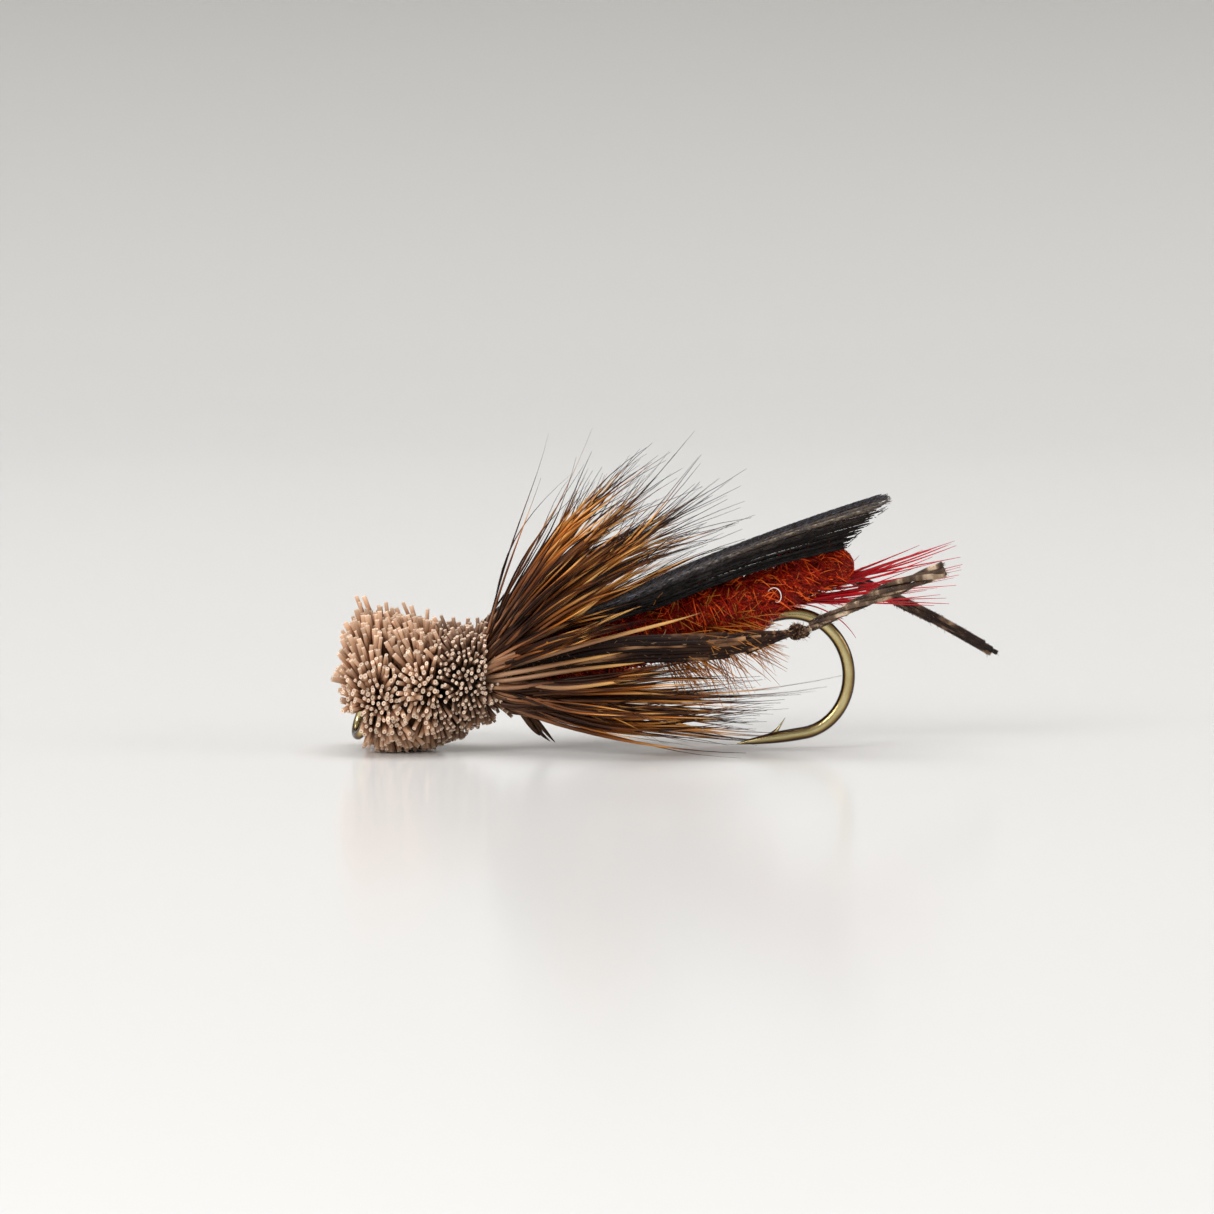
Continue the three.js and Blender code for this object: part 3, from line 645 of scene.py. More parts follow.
def cut_hairs(node, gap, thickness, ragged, sprawl):
    """Stiff hairs that burst from their bunch and end on the clipped surface.

    Tips are a gap apart, and their lengths are uneven by ragged. The further a hair leans out of its
    burst, the more it lies in the side of the head, by sprawl.
    """
    rng = rng_for(node)
    tips, normals = head_tips(node, gap)
    count = len(tips)
    along = (tips - SHANK_ROOT) @ AXIS
    bunch = np.abs(along[:, None] + rng.normal(0, 0.35, (count, 1)) - HEAD_BUNCHES).argmin(1)
    root_along = mix(HEAD_BUNCHES[bunch], along, 0.12) + rng.normal(0, 0.14, count)
    root = around_shank(root_along, rng.uniform(0.05, 0.45, count), rng.uniform(0, TAU, count))
    aside = np.hypot(tips[:, 0] - root[:, 0], tips[:, 2] - root[:, 2])
    lying = smooth(aside, 0.8, 3.4) * sprawl
    root[:, 1] += mix(0.25, 0.84, lying) * tips[:, 1]
    ahead = unit(tips - root)
    radius = thickness * rng.uniform(0.72, 1.14, count)
    # the clipping is roughest at the front and on top, and never reaches below the flat underside
    front = smooth(-tips[:, 0], 0.4, 2.2)
    upper = smooth(tips[:, 2], 3.8, 6.0)
    extra = rng.normal(0, 1, count) * ragged * (1 + 1.3 * front + 0.5 * upper)
    extra = np.where(rng.random(count) < 0.02 + 0.05 * front * upper, extra + 0.5, extra)
    low_lying = smooth(tips[:, 2], 0.9, 0.2)
    tips = tips + ahead * column(mix(extra, -np.abs(extra) * 0.5, low_lying))
    lowest = HEAD_OFF_FLOOR + radius * np.sqrt(np.maximum(0, 1 - ahead[:, 2] ** 2))
    tips[:, 2] = np.maximum(tips[:, 2], lowest)
    reach = np.linalg.norm(tips - root, axis=1)
    start = np.maximum(0.3, reach - HAIR_VISIBLE) / reach
    on_side = smooth(np.abs(normals[:, 1]), 0.2, 0.6)
    from_above = smooth(normals[:, 2], 0.15, 0.6)
    kept = rng.random(count) > SIDE_THINNING * on_side * lying * (1 - 0.85 * from_above)
    return cut_tubes(root[kept], tips[kept], start[kept], radius[kept], rng)


def cut_tubes(root, tips, start, radius, rng):
    """Slightly bent hairs with flat cut ends; start is the share of each that is buried."""
    count = len(tips)
    t = np.linspace(0, 1, 5)
    share = mix(column(start), 1.0, t)
    paths = root[:, None] + share[..., None] * (tips - root)[:, None]
    paths = paths + rng.normal(0, 0.1, (count, 1, 3)) * bump(t)[None, :, None]
    profile = taper(t, (0, 0.8), (0.5, 0.95), (0.97, 1.0), (1, 0.9))
    return tubes(paths, radius[:, None] * profile, sides=7, flat=0.8, blunt=True, rng=rng)


def swept_back_hairs(count):
    """Short cut hairs behind the head that lean back over the roots of the collar."""
    rng = rng_for("swept back")
    angle = rng.uniform(0, TAU, count)
    root = around_shank(rng.uniform(5.0, 5.7, count), 0.7, angle)
    lean = np.radians(rng.uniform(48, 80, count))
    reach = rng.uniform(1.2, 1.9, count)
    tips = root + column(reach) * heading(angle, lean)
    return cut_tubes(root, tips, np.zeros(count), rng.uniform(0.085, 0.115, count), rng)


def head_core(node, set_back):
    """The packed roots that show between the hairs, dark with painted shade."""
    low, high = cad_box(node)
    t = np.linspace(0, 1, 12)
    x = mix(low[0] + set_back, high[0] - 0.05, t)
    along = (x - SHANK_ROOT[0]) / AXIS[0]
    centre = around_shank(along, 0 * t, 0 * t)
    middle = np.stack([x, 0 * x, np.full_like(x, (low[2] + high[2]) / 2)], -1)
    path = mix(centre, middle, 0.5)[None]
    size = HEAD_CORE * (high[2] - low[2]) / 2 * np.sqrt(np.maximum(0.1, 1 - (2 * t - 1) ** 6))
    return tubes(path, size[None], sides=24, v=np.full(12, 0.45))


def head_pieces():
    front = [cut_hairs("head_front", gap=0.24, thickness=0.132, ragged=0.13, sprawl=1.0),
             head_core("head_front", set_back=1.5)]
    piece("head_front_hair", front, FRONT_HAIR, ["head_front"])
    rear = [cut_hairs("head_rear", gap=0.245, thickness=0.11, ragged=0.14, sprawl=0.5),
            swept_back_hairs(110), head_core("head_rear", set_back=0.25)]
    piece("head_rear_hair", rear, REAR_HAIR, ["head_rear"])


# ---- hair collar ----

COLLAR_ROOT = (5.75, 0.85)  # along the shank and out from it, where the hairs leave the thread
COLLAR_RING = (6.45, 1.6)  # where they have turned outwards
HAIR_LENGTH = 16.9
HAIR_SHORTER = 0.11  # for each degree of flare
HAIRS_PER_CLUMP = 6
LARGEST_WAVE = 0.9
STRAY_SHARE = 0.12  # hairs that leave their clump
WILD_SHARE = 0.05  # thin hairs that stand out further than the rest
COLLAR_TAPER = [(0, 0.112), (0.3, 0.106), (0.6, 0.082), (0.75, 0.048), (0.86, 0.021), (1, 0.007)]
FLOOR_CLEARANCE = 0.04  # between the floor and the lowest hairs of the collar and the butts

# name: place round the shank, half arc, least, usual and most flare in degrees, length share, number of hairs
LOCKS = {
    "collar_top": (0, 26, 18, 48, 68, 1.0, 112),
    "collar_upper_near": (40, 16, 19, 46, 58, 0.97, 90),
    "collar_upper_far": (-38, 18, 16, 44, 58, 1.0, 50),
    "collar_side_near": (68, 12, 19, 40, 48, 0.6, 54),
    "collar_side_far": (-70, 14, 20, 40, 46, 0.9, 28),
    "collar_lower_near": (116, 12, 14, 31, 34, 0.8, 54),
    "collar_lower_far": (-114, 13, 14, 26, 30, 0.85, 20),
    "collar_under_near": (144, 17, 14, 28, 31, 0.92, 78),
    "collar_under_far": (-148, 18, 15, 27, 30, 0.95, 32),
}


def hair_paths(angle, flare, length, bow, wave, root_angle, t):
    """Curved hairs: steep where they leave the thread, then out along their flare."""
    root = around_shank(*COLLAR_ROOT, root_angle)
    ring = around_shank(*COLLAR_RING, angle)
    steep = ring + column(0.1 * length) * heading(angle, flare + 0.55)
    middle = ring + column(0.58 * length) * heading(angle, flare + bow)
    tip = ring + column(length) * heading(angle, flare)
    s = t[None, :, None]
    curve = ((1 - s) ** 3 * root[:, None] + 3 * s * (1 - s) ** 2 * steep[:, None]
             + 3 * s * s * (1 - s) * middle[:, None] + s ** 3 * tip[:, None])
    across = heading(angle, flare + np.pi / 2)[:, None]
    swing = across * wave[:, :1, None] + SIDEWAYS * wave[:, 1:2, None]
    sway = (np.sin(TAU * (0.9 * t + 0.15)) * bump(t) ** 0.7)[None, :, None]
    flick = across * wave[:, 2:3, None] * s ** 5
    return curve + swing * sway + flick


def above_floor(paths, radii):
    """Hair that would dip into the floor lies along it instead."""
    lowest = radii + FLOOR_CLEARANCE
    rise = paths[..., 2] - lowest
    softness = 0.35
    lifted = lowest + softness * np.logaddexp(0, rise / softness) - softness * 0.1 * np.exp(-rise ** 2)
    paths[..., 2] = np.maximum(lifted, lowest)
    return paths


def collar_lock(name, place, arc, least, usual, most, length_share, count):
    """The hairs of one lock, most of them gathered into clumps whose tips part again."""
    rng = rng_for(name)
    clumps = count // HAIRS_PER_CLUMP
    of_clump = np.arange(count) % clumps
    clump_flare = mix(least, usual, rng.beta(1.3, 1.4, clumps))
    clump_angle = place + arc * rng.uniform(-1, 1, clumps)
    clump_reach = rng.normal(0.95, 0.07, clumps)
    stray = rng.random(count) < STRAY_SHARE
    spread = np.where(stray, 4.5, 1.5)
    flare = clump_flare[of_clump] + rng.normal(0, 1, count) * spread
    wild = rng.random(count) < WILD_SHARE
    flare = np.where(wild, rng.uniform(usual, most, count), np.clip(flare, least - 1, most))
    angle = clump_angle[of_clump] + rng.normal(0, 1, count) * spread * 1.6
    length = (HAIR_LENGTH - HAIR_SHORTER * flare) * length_share * clump_reach[of_clump]
    length = length * np.minimum(1.1, rng.normal(0.95, 0.1, count))
    bow = np.radians(rng.normal(3.0, 4.0, clumps)[of_clump] + rng.normal(0, 2.0, count))
    clump_wave = rng.normal(0, [0.34, 0.34, 0.55], (clumps, 3))
    wave = clump_wave[of_clump] + rng.normal(0, [0.2, 0.2, 0.45], (count, 3))
    wave = np.clip(wave, -LARGEST_WAVE, LARGEST_WAVE)
    t = np.linspace(0, 1, 16)
    root_angle = np.radians(angle + rng.normal(0, 6, count))
    paths = hair_paths(np.radians(angle), np.radians(flare), length, bow, wave, root_angle, t)
    clump_mean = np.stack([paths[of_clump == c].mean(0) for c in range(clumps)])[of_clump]
    closeness = 0.66 * smooth(t, 0.1, 0.6) - 0.54 * smooth(t, 0.64, 1.0)
    gather = (closeness * ~(stray | wild)[:, None])[..., None]
    paths = mix(paths, clump_mean, gather)
    profile = taper(t, *COLLAR_TAPER)
    radii = profile[None] * rng.uniform(0.75, 1.15, (count, 1)) * np.where(wild, 0.6, 1)[:, None]
    paths = above_floor(paths, radii)
    return tubes(paths, radii, sides=6, rng=rng)


def crossing_hairs():
    """Pale hairs that swing out over the near thigh, the yarn and the root of the wing."""
    angle = np.radians([76.0, 88.0, 66.0, 98.0, 50.0, 108.0, 58.0])
    flare = np.radians([19.5, 21.0, 27.0, 20.0, 38.0, 23.0, 33.0])
    length = np.array([11.4, 7.0, 8.8, 7.8, 8.6, 7.4, 7.6])
    bow = np.radians([-6.0, 5.0, 3.0, -4.0, 4.0, 3.0, -3.0])
    wave = np.array([[-0.5, 0.1, 0.35], [0.35, 0.1, 0.2], [0.35, -0.1, 0.0], [0.3, 0.1, -0.2],
                     [0.3, 0.2, 0.2], [-0.3, 0.1, -0.2], [0.35, 0.1, 0.3]])
    count = len(angle)
    t = np.linspace(0, 1, 24)
    paths = hair_paths(angle, flare, length, bow, wave, angle, t)
    radii = taper(t, (0, 0.14), (0.5, 0.13), (0.85, 0.08), (1, 0.01))[None] * np.ones((count, 1))
    crossing = tubes(paths, radii, sides=7, columns=np.arange(count) * 7)
    piece("collar_pale_hairs", [crossing], PALE_HAIR)


def collar_pieces():
    for name, lock in LOCKS.items():
        piece(name + "_hair", [collar_lock(name, *lock)], COLLAR_HAIR, [name])
    crossing_hairs()


# ---- thread ----

THREAD_RADIUS = 0.05


def sleeve_measures(node):
    """Start and end along the shank and radius of a CAD thread sleeve."""
    low, high = cad_box(node)
    radius = (high[1] - low[1]) / 2
    length = (high[0] - low[0] - 2 * radius * abs(AXIS[2])) / AXIS[0]
    middle = ((low + high) / 2 - SHANK_ROOT) @ AXIS
    return middle - length / 2, middle + length / 2, radius


def thread_piece(node, layers):
    """Close turns of thread, laid in layers that cross at a small angle."""
    rng = rng_for(node)
    start, end, radius = sleeve_measures(node)
    parts = []
    for layer in range(layers):
        turns = (end - start) / (2.1 * THREAD_RADIUS)
        steps = int(turns * 14)
        t = np.linspace(0, 1, steps)
        along = mix(start + THREAD_RADIUS, end - THREAD_RADIUS, t if layer % 2 == 0 else 1 - t)
        along = along + 0.02 * np.sin(t * turns * 1.7 + layer) * bump(t)
        out = radius - THREAD_RADIUS * (1 + 1.7 * layer) + rng.normal(0, 0.004, steps)
        path = around_shank(along, out, t * turns * TAU + layer)[None]
        parts.append(tubes(path, np.full((1, steps), THREAD_RADIUS), sides=6, columns=np.array([7 * layer])))
    piece(node + "_wraps", parts, THREAD, [node])


# ---- yarn ----

YARN_WRAPS = 9


def lumps(distance, angle):
    """Uneven swellings of the dubbed fur, from -1 to 1, by the distance along it and the angle round it."""
    return (np.sin(2.3 * distance + 2 * angle) * np.sin(3.1 * distance - 3 * angle + 1)
            + np.sin(4.7 * distance + angle + 2) * np.sin(5 * angle)) / 2


def fuzzy_surface(spine, name, count, heading_deg, scatter_deg, length, wraps, fuzz):
    """Fine fibres that follow the yarn's twist over a round body, with loose ones standing out."""
    rng = rng_for(name)
    size = spine.length()
    stations = 7
    t = np.linspace(-0.5, 0.5, stations)
    tilt = np.radians(heading_deg + rng.normal(0, scatter_deg, count))
    reach = length * rng.uniform(0.5, 1.2, count)
    start = rng.uniform(0.01, 0.99, count)
    turn = rng.uniform(0, TAU, count)
    curl = rng.normal(0, 1.3, count)
    place = start[:, None] + (reach * np.sin(tilt))[:, None] * t / size
    girth = np.interp(start, spine.t, spine.height)
    angle = turn[:, None] + (reach * np.cos(tilt) / girth)[:, None] * t + curl[:, None] * t * t
    loose = rng.random(count) < fuzz
    lift = rng.uniform(0.0, 0.06, (count, 1)) + rng.normal(0, 0.012, (count, stations))
    stand = np.where(loose, rng.uniform(0.15, 0.5, count), 0)[:, None] * (t + 0.5) ** 1.6
    bulge = 0.09 * np.abs(np.sin(np.pi * wraps * place + angle / 2)) if wraps else 0
    swelling = 0.08 * lumps(place * size, angle)
    out = 0.93 + (lift + stand + bulge + swelling) / girth[:, None]
    out = out * end_rounding(np.clip(place, 0, 1))
    paths = spine.point(np.clip(place, 0, 1), -out * np.sin(angle), out * np.cos(angle))
    radii = rng.uniform(0.018, 0.036, (count, 1)) * taper(t + 0.5, (0, 0.5), (0.3, 1), (0.7, 1), (1, 0.35))
    return tubes(paths, radii, sides=4, rng=rng)


def end_rounding(place):
    return np.sqrt(np.clip(1 - (2 * place - 1) ** 12, 0.02, 1))


def yarn_base(spine, wraps):
    """The solid mass under the yarn's fibres."""
    stations, sides = 120, 48
    t = np.linspace(0, 1, stations)
    along = spine.length() * t[:, None]
    angle = np.arange(sides) * TAU / sides
    centre = spine.point(t, 0 * t, 0 * t)[None]
    radius = np.interp(t, spine.t, spine.height) * end_rounding(t) * 0.93
    ridges = 0.08 * np.abs(np.sin(np.pi * wraps * t[:, None] + angle / 2)) if wraps else 0
    radius = radius[:, None] + ridges + 0.08 * lumps(along, angle) * bump(t)[:, None] ** 0.3
    return tubes(centre, radius[None], sides=sides, columns=np.array([5]))


def yarn_turn(body, loop):
    """The end of the body, where the yarn climbs off the shank and folds into the loop."""
    start = body.middle([0.84])[0] + 0.1 * ABOVE
    end = loop.middle([0.5])[0] - 0.15 * ABOVE
    low = mix(start, end, 0.5) + 0.05 * ABOVE
    t = np.linspace(0, 1, 9)
    centre = curve_between(start, low, end, column(t))
    return Spine(t, centre, mix(1.4, 0.85, t), mix(1.4, 0.8, t))


def yarn_pieces():
    body = measured_spine("yarn_body", 16)
    loop = measured_spine("yarn_loop", 10)
    turn = yarn_turn(body, loop)
    climb = fuzzy_surface(turn, "turn fibres", count=2000, heading_deg=50, scatter_deg=34, length=1.5,
                          wraps=0, fuzz=0.26)
    fibres = fuzzy_surface(body, "body fibres", count=8500, heading_deg=20, scatter_deg=38, length=1.7,
                           wraps=YARN_WRAPS, fuzz=0.28)
    bases = [yarn_base(body, YARN_WRAPS), yarn_base(turn, 0)]
    piece("yarn_body_base", bases, YARN_SHADOW, ["yarn_body"])
    piece("yarn_body_fibres", [fibres, climb], YARN)
    strands = fuzzy_surface(loop, "loop fibres", count=3600, heading_deg=60, scatter_deg=30, length=1.5,
                            wraps=0, fuzz=0.22)
    piece("yarn_loop_base", [yarn_base(loop, 0)], YARN_SHADOW, ["yarn_loop"])
    piece("yarn_loop_fibres", [strands], YARN)


def white_curl():
    """A white fibre caught in the yarn, curled like a question mark on the near side."""
    centre = measured_spine("yarn_body", 16).middle([0.99])[0]
    t = np.linspace(0, 1, 30)
    turn = mix(2.6, -1.9, t)
    size = 0.36 * (1 - 0.45 * t)
    x = centre[0] + 0.1 + size * np.cos(turn) + 0.12 * t
    z = centre[2] + 0.45 + size * 1.35 * np.sin(turn)
    y = np.full_like(t, centre[1] - 1.62) - 0.15 * bump(t)
    path = np.stack([x, y, z], -1)[None]
    radii = taper(t, (0, 0.012), (0.3, 0.03), (0.8, 0.026), (1, 0.01))[None]
    piece("stray_white_fibre", [tubes(path, radii, sides=6)], WHITE_FIBRE)


# ---- tail ----

def tail_piece():
    rng = rng_for("tail")
    low, high = cad_box("tail_fibres")
    count = 32
    t = np.linspace(0, 1, 14)
    share = rng.random(count)
    tie = np.array([mix(low[0], high[0], 0.16), 0, mix(low[2], high[2], 0.14)])
    root = tie + rng.normal(0, 1, (count, 3)) * [0.2, 0.1, 0.07]
    root += column(smooth(share, 0.4, 0.95)) * np.array([1.6, 0, 1.15])
    tip_z = mix(low[2] + 0.15, high[2] - 0.3, share)
    tip_x = high[0] - 0.9 * np.abs(share - 0.6) - rng.gamma(1.5, 0.7, count)
    tip_y = mix(low[1], high[1], 0.5) + rng.normal(0, 0.9, count)
    tip = np.stack([tip_x, tip_y, tip_z], -1)
    throat = root + (tip - root) * 0.36
    throat[:, 2] = mix(throat[:, 2], root[:, 2] + 0.1, 0.5)
    paths = curve_between(root[:, None], throat[:, None], tip[:, None], t[None, :, None])
    paths = paths + rng.normal(0, 0.1, (count, 1, 3)) * bump(t)[None, :, None]
    profile = taper(t, (0, 0.05), (0.4, 0.046), (0.75, 0.03), (1, 0.01))
    fibres = tubes(paths, profile[None] * rng.uniform(0.6, 1.15, (count, 1)), sides=6, rng=rng)
    butts = sprouts(paths, count=50, length=1.5, lean=9, rng=rng, to_t=0.25)
    packed = tubes(butts, np.full((50, 3), 0.03) * [1, 0.8, 0.3], sides=5)
    piece("tail_strands", [fibres, packed], RED_FIBRE, ["tail_fibres"])


def loose_red_fibre():
    """One tail fibre that fell over and lies round the outside of the bend."""
    along = 20.95
    reach = (cad_box("hook")[1][0] - SHANK_ROOT[0] - along * AXIS[0]) / AXIS[0]
    turn = np.linspace(0.15, 1.25, 20)
    bend = around_shank(along + (reach - 0.2) * np.sin(turn), -3.05 + 3.52 * np.cos(turn), 0 * turn)
    bend[:, 1] -= 0.12
    radii = taper(np.linspace(0, 1, 20), (0, 0.04), (0.7, 0.03), (1, 0.01))[None]
    piece("loose_red_fibre", [tubes(bend[None], radii)], RED_FIBRE)


# ---- wound hackle ----

def on_yarn(body, along, angle):
    """A point on the yarn's surface by its distance along the shank and the angle round it."""
    shank = around_shank(along, 0 * along, 0 * along)
    t = np.interp(shank[:, 0], body.centre[:, 0], body.t)
    return body.point(t, -np.sin(angle), np.cos(angle))


def hanging_barbs(body):
    """Straight barbs that stand out below the near thigh and cross one another."""
    rng = rng_for("hanging barbs")
    count = 130
    angle = np.radians(rng.uniform(104, 168, count)) * np.where(rng.random(count) < 0.66, 1, -1)
    root = on_yarn(body, rng.uniform(14.4, 18.4, count), angle)
    lean = np.radians(np.clip(rng.normal(54, 17, count), 18, 95))
    s = np.linspace(0, 1, 7)
    reach = rng.uniform(2.3, 3.9, count)[:, None, None] * s[None, :, None]
    ahead = heading(angle + rng.normal(0, 0.3, count), lean)[:, None]
    droop = -0.02 * reach * reach * ABOVE
    radii = rng.uniform(0.022, 0.034, (count, 1)) * taper(s, (0, 1), (0.6, 0.85), (1, 0.3))
    paths = root[:, None] + reach * ahead + droop
    return tubes(paths, radii, sides=4, rng=rng)


def hackle_piece():
    """A feather stem wound round the yarn, with its barbs standing out from it."""
    rng = rng_for("hackle")
    start, end, turns = 13.9, 19.7, 4
    body = measured_spine("yarn_body", 16)
    t = np.linspace(0, 1, 180)
    stem = on_yarn(body, mix(start, end, t), t * turns * TAU)
    rod = tubes(stem[None], taper(t, (0, 0.035), (1, 0.02))[None], sides=6, columns=np.array([2]))
    count = 400
    place = rng.random(count)
    angle = place * turns * TAU
    root = on_yarn(body, mix(start, end, place) + rng.normal(0, 0.15, count), angle)
    lean = np.radians(np.clip(rng.normal(50, 17, count), 12, 88))
    fan = angle + rng.normal(0, 0.7, count)
    from_top = np.abs((np.degrees(fan) + 180) % 360 - 180)
    length = rng.uniform(1.5, 2.7, count)
    # clipped short on top and at the sides
    length = length * np.where(from_top < 50, 0.45, 1) * np.where(np.abs(from_top - 90) < 24, 0.65, 1)
    s = np.linspace(0, 1, 7)
    reach = length[:, None, None] * s[None, :, None]
    curved = np.radians(rng.normal(3, 6, count))
    straight = heading(fan, lean)[:, None]
    bent = heading(fan, lean + curved)[:, None]
    paths = root[:, None] + reach * mix(straight, bent, s[None, :, None])
    radii = rng.uniform(0.017, 0.028, (count, 1)) * taper(s, (0, 1), (0.6, 0.85), (1, 0.3))
    # and mostly trimmed off where the thighs lie
    kept = (np.abs(from_top - 80) > 40) | (rng.random(count) < 0.22)
    barbs = tubes(paths[kept], radii[kept], sides=4, rng=rng)
    piece("palmered_hackle_barbs", [rod, barbs, hanging_barbs(body)], GINGER,
          ["palmered_hackle"])


# ---- wing ----

WING_BOW = 0.5  # how far the ridge arches up between its ends
WING_GIRTH = {"butt": 0.6, "middle": 2.38, "rear": 2.5}  # from the ridge to an edge, over the surface
WING_RIDGE_RADIUS = (2.05, 1.25)  # of the rounded fold, at the front and at the rear
WING_PANEL_ANGLE = math.radians(60)  # of the flat panels that hang from the fold


def ridge_line(node):
    """The two ends of the wing's fold, read from the CAD slip."""
    points = np.array([v.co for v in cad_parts[node].data.vertices]) / MM
    ridge = points[np.abs(points[:, 1]) < 0.02]
    return ridge[ridge[:, 0].argmin()], ridge[ridge[:, 2].argmax()]


def wing_girth(share):
    """From the ridge to the edge, over the surface, at a share of the ridge."""
    widened = mix(WING_GIRTH["butt"], WING_GIRTH["middle"], smooth(share, 0, 0.42))
    return mix(widened, WING_GIRTH["rear"], smooth(share, 0.6, 1))


def wing_surface(front, rear, share, across, lift):
    """A point on the folded slip: share runs along the ridge, across from -1 to 1 over the fold."""
    ridge = rear - front
    length = np.linalg.norm(ridge)
    back = ridge / length
    above = np.cross(back, SIDEWAYS)
    side, off = np.sign(across), np.abs(across)
    distance = off * wing_girth(share)
    radius = mix(*WING_RIDGE_RADIUS, smooth(share, 0.4, 1))
    angle = np.minimum(distance / radius, WING_PANEL_ANGLE)
    straight = np.maximum(0, distance - radius * WING_PANEL_ANGLE)
    out = radius * np.sin(angle) + straight * math.cos(WING_PANEL_ANGLE)
    drop = radius * (1 - np.cos(angle)) + straight * math.sin(WING_PANEL_ANGLE)
    rake = 0.5 * smooth(off, 0, 0.3) - 2.85 * smooth(off, 0.4, 1.02)
    along = share * (length + rake * share ** 4)
    normal = column(np.cos(angle)) * above + column(side * np.sin(angle)) * SIDEWAYS
    bow = 4 * WING_BOW * share * (1 - share)
    place = (front + column(along) * back + column(bow - drop) * above
             + column(side * out) * SIDEWAYS)
    return place + column(lift) * normal, normal


def wing_piece():
    """Lengthwise barbs laid side by side over the fold, with ragged rear ends, and their barbules."""
    rng = rng_for("wing")
    front, rear = ridge_line("wing_slip")
    count = 2 * WING_HALF
    across = (np.arange(count) + 0.5) / WING_HALF - 1
    t = np.linspace(0, 1, 36)
    locks = np.repeat(rng.uniform(0, 0.022, count // 4 + 1), 4)[:count]
    ends = 1 - locks - np.abs(rng.normal(0, 0.008, count)) - 0.01 * (np.arange(count) % 2)
    share = ends[:, None] * t[None]
    wander = across[:, None] + rng.normal(0, 0.012, (count, 1)) * np.sin(5 * t + 1)[None]
    lift = rng.normal(0, 0.018, (count, 1)) + 0.02 * rng.normal(0, 1, (count, 1)) * t ** 3
    paths, normals = wing_surface(front, rear, share, wander, np.broadcast_to(lift, share.shape))
    width = wing_girth(share) / WING_HALF * 0.62 * (1 - 0.5 * smooth(t, 0.97, 1.0))
    barbs = tubes(paths, width, sides=8, flat=0.62, normals=normals, columns=np.arange(count), of=count)

    grains = 5200
    g_share = rng.uniform(0.12, 0.985, grains)
    g_across = rng.uniform(-1, 1, grains) * np.where(rng.random(grains) < 0.5, 0.4, 1)
    s = np.linspace(0, 1, 3)
    g_s = g_share[:, None] + 0.014 * s
    slant = rng.choice([-1, 1], grains) * rng.uniform(0.02, 0.05, grains)
    g_a = np.clip(g_across[:, None] + slant[:, None] * s, -0.99, 0.99)
    g_lift = 0.05 + 0.05 * s[None] + rng.uniform(-0.01, 0.02, (grains, 1))
    g_paths, _ = wing_surface(front, rear, g_s, g_a, np.broadcast_to(g_lift, g_s.shape))
    g_columns = np.floor((g_a[:, 1] + 1) * WING_HALF).astype(int)
    barbules = tubes(g_paths, np.full(g_s.shape, 0.016) * [1, 0.9, 0.5], sides=4, columns=g_columns, of=count)
    piece("wing_quill_slip", [barbs, barbules], wing_material(), ["wing_slip"])


# ---- legs ----

THIGH_FIBRES = 18
SHIN_FIBRES = 6
FAR_SHIN_ENDS = np.array([0.55, 0.97, 0.93, 1.0, 0.96, 0.9])  # its fibres were cut unevenly
FUZZ_THICKNESS = 0.02


def fibre_layout(count, rows):
    """Places of a bundle's fibres as shares of its half sizes, in staggered rows from top to bottom."""
    index = np.arange(count)
    upward = 1.7 * (index / (count - 1) - 0.5)
    across = 0.45 * (2 * (index % rows) / max(1, rows - 1) - 1)
    return across, upward


def bundle(spine, rng, count, rows, radius, twist, ends=None, blunt=False):
    """Quill fibres side by side along a CAD bar; ends gives the share of it that each one covers."""
    across, upward = fibre_layout(count, rows)
    t = np.linspace(0, 1, 40)
    turn = twist * t[None] + 0 * across[:, None]
    a = across[:, None] * np.cos(turn) - upward[:, None] * np.sin(turn)
    b = across[:, None] * np.sin(turn) + upward[:, None] * np.cos(turn)
    stop = np.ones(count) if ends is None else ends
    share = stop[:, None] * t[None]
    wobble = rng.normal(0, 0.07, (count, 1)) * np.sin(9 * t + 2)[None]
    paths = spine.point(share, a + wobble, b + wobble)
    sizes = np.interp(share, spine.t, (spine.width + spine.height) / 2) * radius
    sizes = sizes * rng.uniform(0.85, 1.15, (count, 1))
    fibres = tubes(paths, sizes, sides=7, flat=0.7, rng=rng, blunt=blunt)
    return paths, fibres


def fibre_fuzz(paths, rng, count, length, lean):
    fuzz = sprouts(paths, count, length, lean, rng)
    radii = FUZZ_THICKNESS * rng.uniform(0.6, 1.3, (count, 1)) * np.array([1, 0.75, 0.3])
    return tubes(fuzz, radii, sides=4, rng=rng)


def knot_paths(node, strands):
    """A fuzzy trefoil of a few fibres, in the knot's own place."""
    centre = cad_centre(node)
    t = np.linspace(0, TAU, 60)
    reach = 0.125 * (2 + np.cos(3 * t))
    trefoil = np.stack([1.25 * reach * np.cos(2 * t), 0.16 * np.sin(3 * t), 0.9 * reach * np.sin(2 * t)], -1)
    offsets = 0.05 * np.stack([np.cos(strands * 2.1), np.sin(strands * 2.1), np.cos(strands * 1.3)], -1)
    return centre + trefoil[None] + offsets[:, None]


